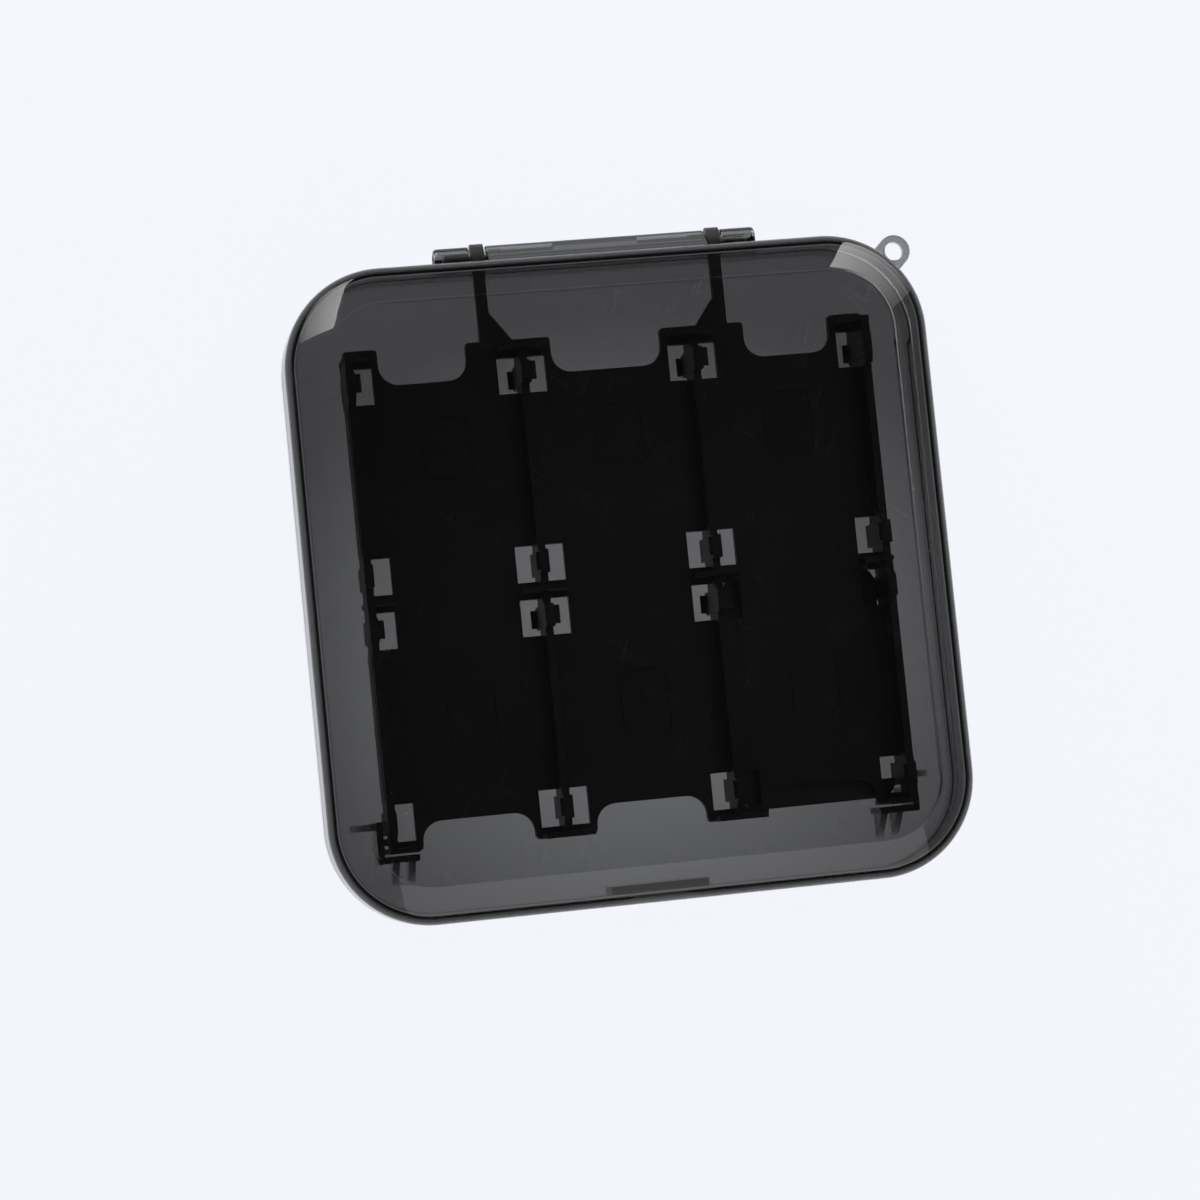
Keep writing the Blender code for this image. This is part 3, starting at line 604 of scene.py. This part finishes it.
def lanyard_ring():
    """Flat eye on the rear right corner: a rounded outline with its hole cut out."""
    out = np.array((1.0, 1.0)) / math.sqrt(2)
    across = np.array((-1.0, 1.0)) / math.sqrt(2)
    bend = np.array((HALF_W - CORNER_R, HALF_L - CORNER_R))
    centre = bend + out * (CORNER_R + RING_OUT)
    root = bend + out * (CORNER_R - WALL / 2)
    rim = arc(centre, RING_R, -45, 135, RING_STEPS)
    outline = np.vstack([root - across * RING_R, rim, root + across * RING_R])
    top = SHELL_H - SHY
    eye = prism("lanyard ring", outline, top - RING_T, top)
    round_hole = arc(centre, RING_HOLE_R, 0, 360, HOLE_STEPS)[:-1]
    combine(eye, cut=[prism("lanyard hole", round_hole, top - 2 * RING_T, top + RING_T)])
    soften(eye, EDGE_SOFTENING, segments=3)
    return combine(eye)


def soften(piece, width, segments):
    """Round the edges that bend by more than a third of a right angle."""
    rounding = piece.modifiers.new("soft edges", "BEVEL")
    rounding.width = width
    rounding.segments = segments
    rounding.limit_method = "ANGLE"
    rounding.angle_limit = SOFTENED_ANGLE
    rounding.harden_normals = False
    return piece


def corner_guides():
    """Angle-shaped stops round the tray's front corners, with their ledges and ribs."""
    side = TRAY_SIDE + RUN_GAP
    front = TRAY_FRONT - RUN_GAP
    floor = WALL - SINK
    top = SHELL_H - GUIDE_TOP_DROP
    rib_top = top - WALL
    x = side + GUIDE_T
    y = front - GUIDE_T
    ell = np.array([
        (x - GUIDE_FRONT_L, y), (x, y), (x, front + GUIDE_SIDE_L), (side, front + GUIDE_SIDE_L),
        (side, front), (x - GUIDE_FRONT_L, front)])
    front_rib = [
        (y + SINK, floor), (y + SINK, rib_top), (y, rib_top), (y - GUSSET_L, WALL + GUSSET_TOE),
        (y - GUSSET_L, floor)]
    side_rib = np.array([
        (x - SINK, floor), (x + GUSSET_L, floor), (x + GUSSET_L, WALL + GUSSET_TOE), (x, rib_top),
        (x - SINK, rib_top)])
    made = []
    for sign in (1, -1):
        made.append(prism("guide", ell * (sign, 1), floor, top))
        x0, x1 = sorted((sign * (side - LEDGE_REACH), sign * (side + SINK)))
        ledge_y = TRAY_FRONT + LEDGE_IN
        low = (x0, ledge_y - LEDGE_W / 2, floor)
        high = (x1, ledge_y + LEDGE_W / 2, MID_Z - ARM_NOTCH_HALF_T)
        made.append(block("ledge", low, high))
        for step in GUSSET_STEPS:
            made.append(rib("front rib", front_rib, sign * (x - GUIDE_FRONT_L + step), "X"))
        made.append(rib("side rib", side_rib * (sign, 1), front + SIDE_GUSSET_STEP, "Y"))
    return made


def base_piece():
    """Base with the outer knuckles, the lanyard ring, the latch groove and the corner guides."""
    stations = case_outline(LIP_TAPER, LATCH_HALF)
    base = shell("clear_base", stations, WALL - LIP_T - RUN_GAP, -LIP_H - RUN_GAP)
    room = KNUCKLE_START + SHY
    combine(base, cut=[
        rod("barrel relief", -room, room, KNUCKLE_R + RUN_GAP),
        eye_relief(1, BARREL_HALF, room + SHY), eye_relief(-1, BARREL_HALF, room + SHY),
        *arm_notches(MID_Z - ARM_NOTCH_HALF_T, MID_Z),
        bead("latch groove", BEAD_R + RUN_GAP, BEAD_W + 2 * RUN_GAP), thumb_scallop()])
    right = knuckle("right knuckle", KNUCKLE_START, KNUCKLE_END, -1, (END_ROUND / 4, END_ROUND))
    left = knuckle("left knuckle", -KNUCKLE_END, -KNUCKLE_START, -1, (END_ROUND, END_ROUND / 4))
    reach = KNUCKLE_END + RUN_GAP
    bores = [rod("bore", *sorted((sign * EYE_END, sign * reach)), BORE_R) for sign in (-1, 1)]
    combine(base, fused=[right, left], cut=bores)
    return combine(base, fused=[lanyard_ring(), *corner_guides()])


def cad_copy(name, node):
    """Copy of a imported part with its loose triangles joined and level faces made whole."""
    mesh = frame["nodes"][node].data.copy()
    mesh.materials.clear()
    bm = bmesh.new()
    bm.from_mesh(mesh)
    bmesh.ops.remove_doubles(bm, verts=bm.verts, dist=PACKED_SEAM)
    bmesh.ops.dissolve_limit(
        bm, angle_limit=LEVEL_ANGLE, verts=bm.verts, edges=bm.edges, delimit={"NORMAL"})
    bm.to_mesh(mesh)
    bm.free()
    return new_object(name, mesh)


def rounded_rectangle(half_w, half_l, radius):
    """Outline of a rectangle with a quarter circle at each corner."""
    x = half_w - radius
    y = half_l - radius
    quarters = (((x, y), 0), ((-x, y), 90), ((-x, -y), 180), ((x, -y), 270))
    return np.vstack([arc(centre, radius, turn, turn + 90, MARK_STEPS) for centre, turn in quarters])


def slot_marks():
    """Cutters for the shallow marks: in each slot a rounded band round a small dot."""
    low = PAGE_TOP - MARK_DEPTH
    high = PAGE_TOP + MARK_DEPTH
    made = []
    for x in MARK_COLUMNS:
        for y in MARK_ROWS:
            outside = rounded_rectangle(MARK_W / 2, MARK_L / 2, MARK_R) + (x, y)
            half_w = MARK_W / 2 - MARK_BAND
            half_l = MARK_L / 2 - MARK_BAND
            inside = rounded_rectangle(half_w, half_l, MARK_INNER_R) + (x, y)
            mark = prism("slot mark", outside, low, high)
            made.append(combine(mark, cut=[prism("mark middle", inside, low - MM, high + MM)]))
            made.append(prism("slot dot", arc((x, y), DOT_R, 0, 360, DOT_STEPS)[:-1], low, high))
    return made


def border_walls():
    """Walls along the four borders, on both faces of the page.

    The inner two are of one height, and the outer two rise at the tray's rear corners, where
    they join the clips to the end wall.
    """
    made = []
    for border, walls in enumerate((OUTER_WALLS, INNER_WALLS, INNER_WALLS, OUTER_WALLS)):
        x0 = border * BORDER_PITCH - TRAY_SIDE + SHY
        for front, rear, down, up in walls:
            low = (x0, front, MID_Z - down)
            high = (x0 + BORDER_T, rear, MID_Z + up)
            made.append(block("border wall", low, high))
    return made


def weld(piece):
    """Merge the points that a Boolean leaves closer together than the weld."""
    bm = bmesh.new()
    bm.from_mesh(piece.data)
    bmesh.ops.remove_doubles(bm, verts=bm.verts, dist=WELD)
    bm.to_mesh(piece.data)
    bm.free()
    return piece


def tray_piece():
    """Tray with its border walls and the marks in its slot floors."""
    tray = weld(combine(cad_copy("two_sided_tray", "card_tray"), fused=border_walls()))
    return weld(combine(tray, cut=slot_marks()))


def card_piece():
    """Blank card with softened edges."""
    return soften(cad_copy("blank_card", "game_card"), EDGE_SOFTENING, segments=2)


def pin_piece(name, node):
    """Drawn steel pin with a rounded chamfer at each end."""
    low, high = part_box(node)
    radius = (high.z - low.z) / 2
    middle = (0, (low.y + high.y) / 2, (low.z + high.z) / 2)
    start = arc((radius - PIN_CHAMFER, low.x + PIN_CHAMFER), PIN_CHAMFER, -90, 0, END_STEPS)
    end = arc((radius - PIN_CHAMFER, high.x - PIN_CHAMFER), PIN_CHAMFER, 0, 90, END_STEPS)
    return turned(name, middle, np.vstack([start, end]))


def group(name, inputs, outputs):
    """Start a shader node group with float inputs and the outputs (name, socket type)."""
    made = bpy.data.node_groups.new(name, "ShaderNodeTree")
    for label, value in inputs:
        socket = made.interface.new_socket(label, in_out="INPUT", socket_type="NodeSocketFloat")
        socket.default_value = value
    for label, kind in outputs:
        made.interface.new_socket(label, in_out="OUTPUT", socket_type=kind)
    nodes = made.nodes
    return made, nodes.new("NodeGroupInput"), nodes.new("NodeGroupOutput")


def noise(tree, place, scale, detail=2.0, roughness=0.5):
    """Noise on a place vector."""
    texture = tree.nodes.new("ShaderNodeTexNoise")
    texture.inputs["Detail"].default_value = detail
    texture.inputs["Roughness"].default_value = roughness
    tree.links.new(place, texture.inputs["Vector"])
    if isinstance(scale, float):
        texture.inputs["Scale"].default_value = scale
    else:
        tree.links.new(scale, texture.inputs["Scale"])
    return texture.outputs["Fac"]


def ramp(tree, value, low, high, out_low=0.0, out_high=1.0):
    """Map a value from one range to another, clamped."""
    node = tree.nodes.new("ShaderNodeMapRange")
    node.inputs["From Min"].default_value = low
    node.inputs["From Max"].default_value = high
    node.inputs["To Min"].default_value = out_low
    node.inputs["To Max"].default_value = out_high
    tree.links.new(value, node.inputs["Value"])
    return node.outputs["Result"]


def maths(tree, operation, first, second):
    """One maths step on two sockets or numbers."""
    node = tree.nodes.new("ShaderNodeMath")
    node.operation = operation
    for socket, value in zip(node.inputs, (first, second)):
        if isinstance(value, (int, float)):
            socket.default_value = value
        else:
            tree.links.new(value, socket)
    return node.outputs["Value"]


def hairlines(tree, place, scale, turn, low):
    """Mask of long thin lines: noise turned about Z and then stretched, with only its peaks kept."""
    turned_place = tree.nodes.new("ShaderNodeVectorRotate")
    turned_place.rotation_type = "Z_AXIS"
    turned_place.inputs["Angle"].default_value = math.radians(turn)
    stretched = tree.nodes.new("ShaderNodeVectorMath")
    stretched.operation = "MULTIPLY"
    stretched.inputs[1].default_value = (1.0, HAIRLINE_STRETCH, 1.0)
    tree.links.new(place, turned_place.inputs["Vector"])
    tree.links.new(turned_place.outputs["Vector"], stretched.inputs[0])
    lines = noise(tree, stretched.outputs["Vector"], scale, detail=0.0)
    broken = noise(tree, place, HAIRLINE_BREAKS, detail=1.0)
    kept = ramp(tree, broken, *HAIRLINE_KEPT)
    return maths(tree, "MULTIPLY", ramp(tree, lines, low, low + HAIRLINE_EDGE), kept)


def marks_and_shade_group():
    """Group for handled gloss: fine hairlines in two directions, dust specks and slow flow waves.

    Its tone is painted light and shade: 1 inside a pale oval, painted darker to the edge shade on an
    outer oval round the same middle: distance = length of (x / reach x, (y - middle) / reach y).
    """
    made, given, result = group(
        "scratches, dust and painted shade",
        (("Scratches", 0.3), ("Dust", 0.3), ("Gloss Roughness", 0.02), ("Waves", 0.2),
         ("Painted Edge Shade", 1.0)),
        (("Tone", "NodeSocketFloat"), ("Roughness", "NodeSocketFloat"), ("Height", "NodeSocketFloat")))
    place = made.nodes.new("ShaderNodeTexCoord").outputs["Object"]
    oval = made.nodes.new("ShaderNodeVectorMath")
    oval.operation = "MULTIPLY_ADD"
    oval.inputs[1].default_value = (1 / PAINTED_LIGHT_REACH_X, 1 / PAINTED_LIGHT_REACH_Y, 0.0)
    oval.inputs[2].default_value = (0.0, -PAINTED_LIGHT_MIDDLE_Y / PAINTED_LIGHT_REACH_Y, 0.0)
    distance = made.nodes.new("ShaderNodeVectorMath")
    distance.operation = "LENGTH"
    made.links.new(place, oval.inputs[0])
    made.links.new(oval.outputs["Vector"], distance.inputs[0])
    # Painted shade: the tone is 1 inside the pale oval and is painted darker outwards to the edge
    # shade.
    outward = ramp(made, distance.outputs["Value"], PAINTED_LIGHT_CORE, 1.0)
    loss = maths(made, "MULTIPLY", outward, maths(made, "SUBTRACT", 1.0, given.outputs["Painted Edge Shade"]))
    made.links.new(maths(made, "SUBTRACT", 1.0, loss), result.inputs["Tone"])
    one, other = [hairlines(made, place, *line) for line in HAIRLINES]
    lines = maths(made, "MAXIMUM", one, other)
    lines = maths(made, "MULTIPLY", lines, given.outputs["Scratches"])
    cells = made.nodes.new("ShaderNodeTexVoronoi")
    cells.inputs["Scale"].default_value = SPECK_SCALE
    made.links.new(place, cells.inputs["Vector"])
    speck = ramp(made, cells.outputs["Distance"], *SPECK_SIZE, 1.0, 0.0)
    dusty = ramp(made, noise(made, place, DUSTY_SCALE), *DUSTY_KEPT)
    specks = maths(made, "MULTIPLY", speck, dusty)
    specks = maths(made, "MULTIPLY", specks, given.outputs["Dust"])
    marks = maths(made, "MAXIMUM", lines, specks)
    rough = maths(made, "ADD", given.outputs["Gloss Roughness"], marks)
    made.links.new(rough, result.inputs["Roughness"])
    flow = noise(made, place, WAVE_SCALE, detail=1.0)
    waves = maths(made, "MULTIPLY", flow, given.outputs["Waves"])
    cuts = maths(made, "MULTIPLY", lines, HAIRLINE_DEPTH)
    made.links.new(maths(made, "SUBTRACT", waves, cuts), result.inputs["Height"])
    return made


def grain_group():
    """Group for moulded or drawn surfaces: fine grain, slow mottling and small dents from being
    handled.
    """
    made, given, result = group(
        "fine grain",
        (("Grain Scale", 6000.0), ("Grain", 0.5), ("Mottling", 0.3), ("Base Roughness", 0.4)),
        (("Tone", "NodeSocketFloat"), ("Roughness", "NodeSocketFloat"), ("Height", "NodeSocketFloat")))
    place = made.nodes.new("ShaderNodeTexCoord").outputs["Object"]
    grain = noise(made, place, given.outputs["Grain Scale"], detail=3.0, roughness=0.6)
    slow = noise(made, place, MOTTLING_SCALE, detail=3.0)
    mottle = maths(made, "MULTIPLY", maths(made, "SUBTRACT", slow, 0.5), given.outputs["Mottling"])
    fine = maths(made, "MULTIPLY", maths(made, "SUBTRACT", grain, 0.5), GRAIN_TONE)
    made.links.new(maths(made, "ADD", 1.0, maths(made, "ADD", mottle, fine)), result.inputs["Tone"])
    uneven = maths(made, "MULTIPLY", mottle, MOTTLING_ROUGHNESS)
    rough = maths(made, "ADD", given.outputs["Base Roughness"], uneven)
    made.links.new(rough, result.inputs["Roughness"])
    made.links.new(maths(made, "MULTIPLY", grain, given.outputs["Grain"]), result.inputs["Height"])
    return made


def placed(material, tree_group, values):
    """Place a group in a material with its own values."""
    node = material.node_tree.nodes.new("ShaderNodeGroup")
    node.node_tree = tree_group
    for label, value in values.items():
        node.inputs[label].default_value = value
    return node


def bump(material, height, strength):
    """Bump node from a height to the shader's normal."""
    node = material.node_tree.nodes.new("ShaderNodeBump")
    node.inputs["Strength"].default_value = strength
    node.inputs["Distance"].default_value = BUMP_DEPTH
    material.node_tree.links.new(height, node.inputs["Height"])
    shader = material.node_tree.nodes["Principled BSDF"]
    material.node_tree.links.new(node.outputs["Normal"], shader.inputs["Normal"])


def new_material(name):
    """New material with its Principled shader."""
    made = bpy.data.materials.new(name)
    made.use_nodes = True
    return made, made.node_tree.nodes["Principled BSDF"]


def smoke_clear(marks_and_shade):
    """Clear smoke-grey moulding: glass-like gloss whose body soaks up light with depth."""
    made, shader = new_material("smoke clear plastic")
    shader.inputs["Transmission Weight"].default_value = 1.0
    shader.inputs["IOR"].default_value = 1.5
    # The group's tone paints the shells' colour: palest inside the oval, painted shade towards the
    # edges.
    marks = placed(made, marks_and_shade, {
        "Scratches": 0.18, "Dust": 0.3, "Gloss Roughness": 0.01, "Waves": 0.3, "Painted Edge Shade": PAINTED_EDGE_SHADE})
    links = made.node_tree.links
    links.new(marks.outputs["Tone"], shader.inputs["Base Color"])
    links.new(marks.outputs["Roughness"], shader.inputs["Roughness"])
    bump(made, marks.outputs["Height"], strength=0.2)
    nodes = made.node_tree.nodes
    depth = nodes.new("ShaderNodeVolumeAbsorption")
    depth.inputs["Color"].default_value = (0.0, 0.0, 0.0, 1.0)
    depth.inputs["Density"].default_value = SMOKE_DENSITY
    output = nodes["Material Output"]
    links.new(depth.outputs["Volume"], output.inputs["Volume"])
    rays = nodes.new("ShaderNodeLightPath")
    through = nodes.new("ShaderNodeBsdfTransparent")
    mix = nodes.new("ShaderNodeMixShader")
    links.new(rays.outputs["Is Shadow Ray"], mix.inputs["Fac"])
    links.new(shader.outputs["BSDF"], mix.inputs[1])
    links.new(through.outputs["BSDF"], mix.inputs[2])
    links.new(mix.outputs["Shader"], output.inputs["Surface"])
    return made


def grained(name, grain, colour, values, strength, metallic=0.0, specular=0.5):
    """Opaque finish with the grain group: its tone varies the colour, its height the normal."""
    made, shader = new_material(name)
    shader.inputs["Metallic"].default_value = metallic
    shader.inputs["Specular IOR Level"].default_value = specular
    texture = placed(made, grain, values)
    tint = made.node_tree.nodes.new("ShaderNodeVectorMath")
    tint.operation = "SCALE"
    tint.inputs[0].default_value = colour
    links = made.node_tree.links
    links.new(texture.outputs["Tone"], tint.inputs["Scale"])
    links.new(tint.outputs["Vector"], shader.inputs["Base Color"])
    links.new(texture.outputs["Roughness"], shader.inputs["Roughness"])
    bump(made, texture.outputs["Height"], strength)
    return made


def dress(piece, body, slot, finish, *nodes):
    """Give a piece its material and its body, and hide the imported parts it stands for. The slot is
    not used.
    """
    piece.data.materials.clear()
    piece.data.materials.append(finish)
    smooth(piece)
    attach(piece, body)
    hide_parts(*nodes)
    return piece


def build_pieces():
    """Make every visible piece of the case."""
    marks_and_shade = marks_and_shade_group()
    grain = grain_group()
    smoke = smoke_clear(marks_and_shade)
    black = grained("black tray plastic", grain, (0.03, 0.029, 0.029), {
        "Grain Scale": 5000.0, "Grain": 0.5, "Mottling": 0.25, "Base Roughness": 0.42},
        strength=0.3, specular=0.25)
    dark = grained("dark card plastic", grain, (0.02, 0.02, 0.022), {
        "Grain Scale": 8000.0, "Grain": 0.7, "Mottling": 0.15, "Base Roughness": 0.5},
        strength=0.4)
    steel = grained("drawn pin steel", grain, (0.45, 0.45, 0.46), {
        "Grain Scale": 9000.0, "Grain": 0.3, "Mottling": 0.2, "Base Roughness": 0.3},
        strength=0.2, metallic=1.0)
    dress(lid_piece(), "lid", "smoke_plastic", smoke, "lid_shell")
    dress(base_piece(), "base", "smoke_plastic", smoke, "base_shell")
    dress(tray_piece(), "tray", "tray_plastic", black, "card_tray")
    dress(card_piece(), "tray", "card_plastic", dark, "game_card")
    for name, node in (("left_pin", "hinge_pin_left"), ("right_pin", "hinge_pin_right")):
        dress(pin_piece(name, node), "base", "pin_steel", steel, node)


def back_vector(azimuth, elevation):
    """Unit vector from the aim to the viewer: azimuth 0 looks along +Y, elevation is from level."""
    a = math.radians(azimuth)
    e = math.radians(elevation)
    return Vector((math.sin(a) * math.cos(e), -math.cos(a) * math.cos(e), math.sin(e)))


def looking(at, back, level):
    """Placement at a point that looks against the back vector, its top towards the level vector."""
    right = level.cross(back).normalized()
    up = back.cross(right)
    turn = Matrix((right, up, back)).transposed().to_4x4()
    return Matrix.Translation(at) @ turn


def place_camera():
    """Camera at the photograph's viewing angle."""
    lens = bpy.data.cameras.new("photo view")
    lens.lens = LENS
    lens.sensor_width = SENSOR
    lens.clip_start = NEAREST
    camera = bpy.data.objects.new("photo view", lens)
    bpy.context.scene.collection.objects.link(camera)
    back = back_vector(VIEW_AZIMUTH, VIEW_ELEVATION)
    turn = math.radians(VIEW_TURN)
    level = Vector((math.sin(turn), math.cos(turn), 0))
    camera.matrix_world = looking(Vector(VIEW_AIM) + back * VIEW_DISTANCE, back, level)
    bpy.context.scene.camera = camera


def place_softbox(name, bearing, elevation, roll, width, height, low, high):
    """Rectangular lamp that faces the case and fades evenly across its width.

    Its power is pi * area for a radiance of 1, and its strength goes from the low to the
    high radiance as the bearing grows. The roll leans its upper end to the high side.
    """
    lamp = bpy.data.lights.new(name, "AREA")
    lamp.shape = "RECTANGLE"
    lamp.size = width
    lamp.size_y = height
    lamp.energy = math.pi * width * height
    lamp.use_nodes = True
    tree = lamp.node_tree
    parts = tree.nodes.new("ShaderNodeSeparateXYZ")
    surface = tree.nodes.new("ShaderNodeNewGeometry")
    tree.links.new(surface.outputs["Parametric"], parts.inputs["Vector"])
    glow = ramp(tree, parts.outputs["X"], 0.0, 1.0, low, high)
    tree.links.new(glow, tree.nodes["Emission"].inputs["Strength"])
    piece = bpy.data.objects.new(name, lamp)
    bpy.context.scene.collection.objects.link(piece)
    b = math.radians(bearing)
    e = math.radians(elevation)
    back = Vector((math.cos(b) * math.cos(e), math.sin(b) * math.cos(e), math.sin(e)))
    across = Vector((-math.sin(b), math.cos(b), 0))
    lean = math.radians(roll)
    level = back.cross(across) * math.cos(lean) + across * math.sin(lean)
    middle = Vector((0, 0, MID_Z))
    piece.matrix_world = looking(middle + back * SOFTBOX_DISTANCE, back, level)


def place_floor():
    """Plain pale floor just under the case, lit evenly from within like a light table."""
    half = FLOOR_SIZE / 2
    x, y = np.meshgrid((-half, half), (-half, half), indexing="ij")
    points = np.column_stack([x.ravel(), y.ravel(), np.full(4, -FLOOR_DROP)])
    mesh = bpy.data.meshes.new("floor")
    mesh.from_pydata(points.tolist(), [], [(0, 2, 3, 1)])
    floor = new_object("floor", mesh)
    made, shader = new_material("pale floor")
    shader.inputs["Base Color"].default_value = tuple(FLOOR_PALE * c for c in FLOOR_COLOUR) + (1.0,)
    shader.inputs["Roughness"].default_value = 1.0
    shader.inputs["Specular IOR Level"].default_value = 0.0
    shader.inputs["Emission Color"].default_value = (*FLOOR_COLOUR, 1.0)
    shader.inputs["Emission Strength"].default_value = FLOOR_GLOW
    mesh.materials.append(made)


def light_room():
    """Dim room round the softboxes: darkest overhead, paler at the horizon, with a faint high ring.

    The ring leaves out the left, where the photograph shows no line along the crease.
    """
    world = bpy.data.worlds.new("studio")
    world.use_nodes = True
    tree = world.node_tree
    parts = tree.nodes.new("ShaderNodeSeparateXYZ")
    direction = tree.nodes.new("ShaderNodeTexCoord")
    tree.links.new(direction.outputs["Generated"], parts.inputs["Vector"])
    height = parts.outputs["Z"]
    side = ramp(tree, height, *SIDE_BAND, ROOM_SIDE, ROOM_TOP)
    low = ramp(tree, height, *HORIZON_BAND, ROOM_HORIZON, 0.0)
    rise = ramp(tree, height, *RING_RISE)
    fall = ramp(tree, height, *RING_FALL, 1.0, 0.0)
    rightward = ramp(tree, parts.outputs["X"], *RING_LEFT_END, 0.0, ROOM_RING)
    ring = maths(tree, "MULTIPLY", maths(tree, "MULTIPLY", rise, fall), rightward)
    background = tree.nodes["Background"]
    background.inputs["Color"].default_value = (*ROOM_TINT, 1.0)
    strength = maths(tree, "MAXIMUM", ring, maths(tree, "MAXIMUM", side, low))
    tree.links.new(strength, background.inputs["Strength"])
    bpy.context.scene.world = world
    bpy.context.scene.view_settings.view_transform = "Standard"


build_pieces()
place_floor()
light_room()
for softbox in SOFTBOXES:
    place_softbox(*softbox)
place_camera()
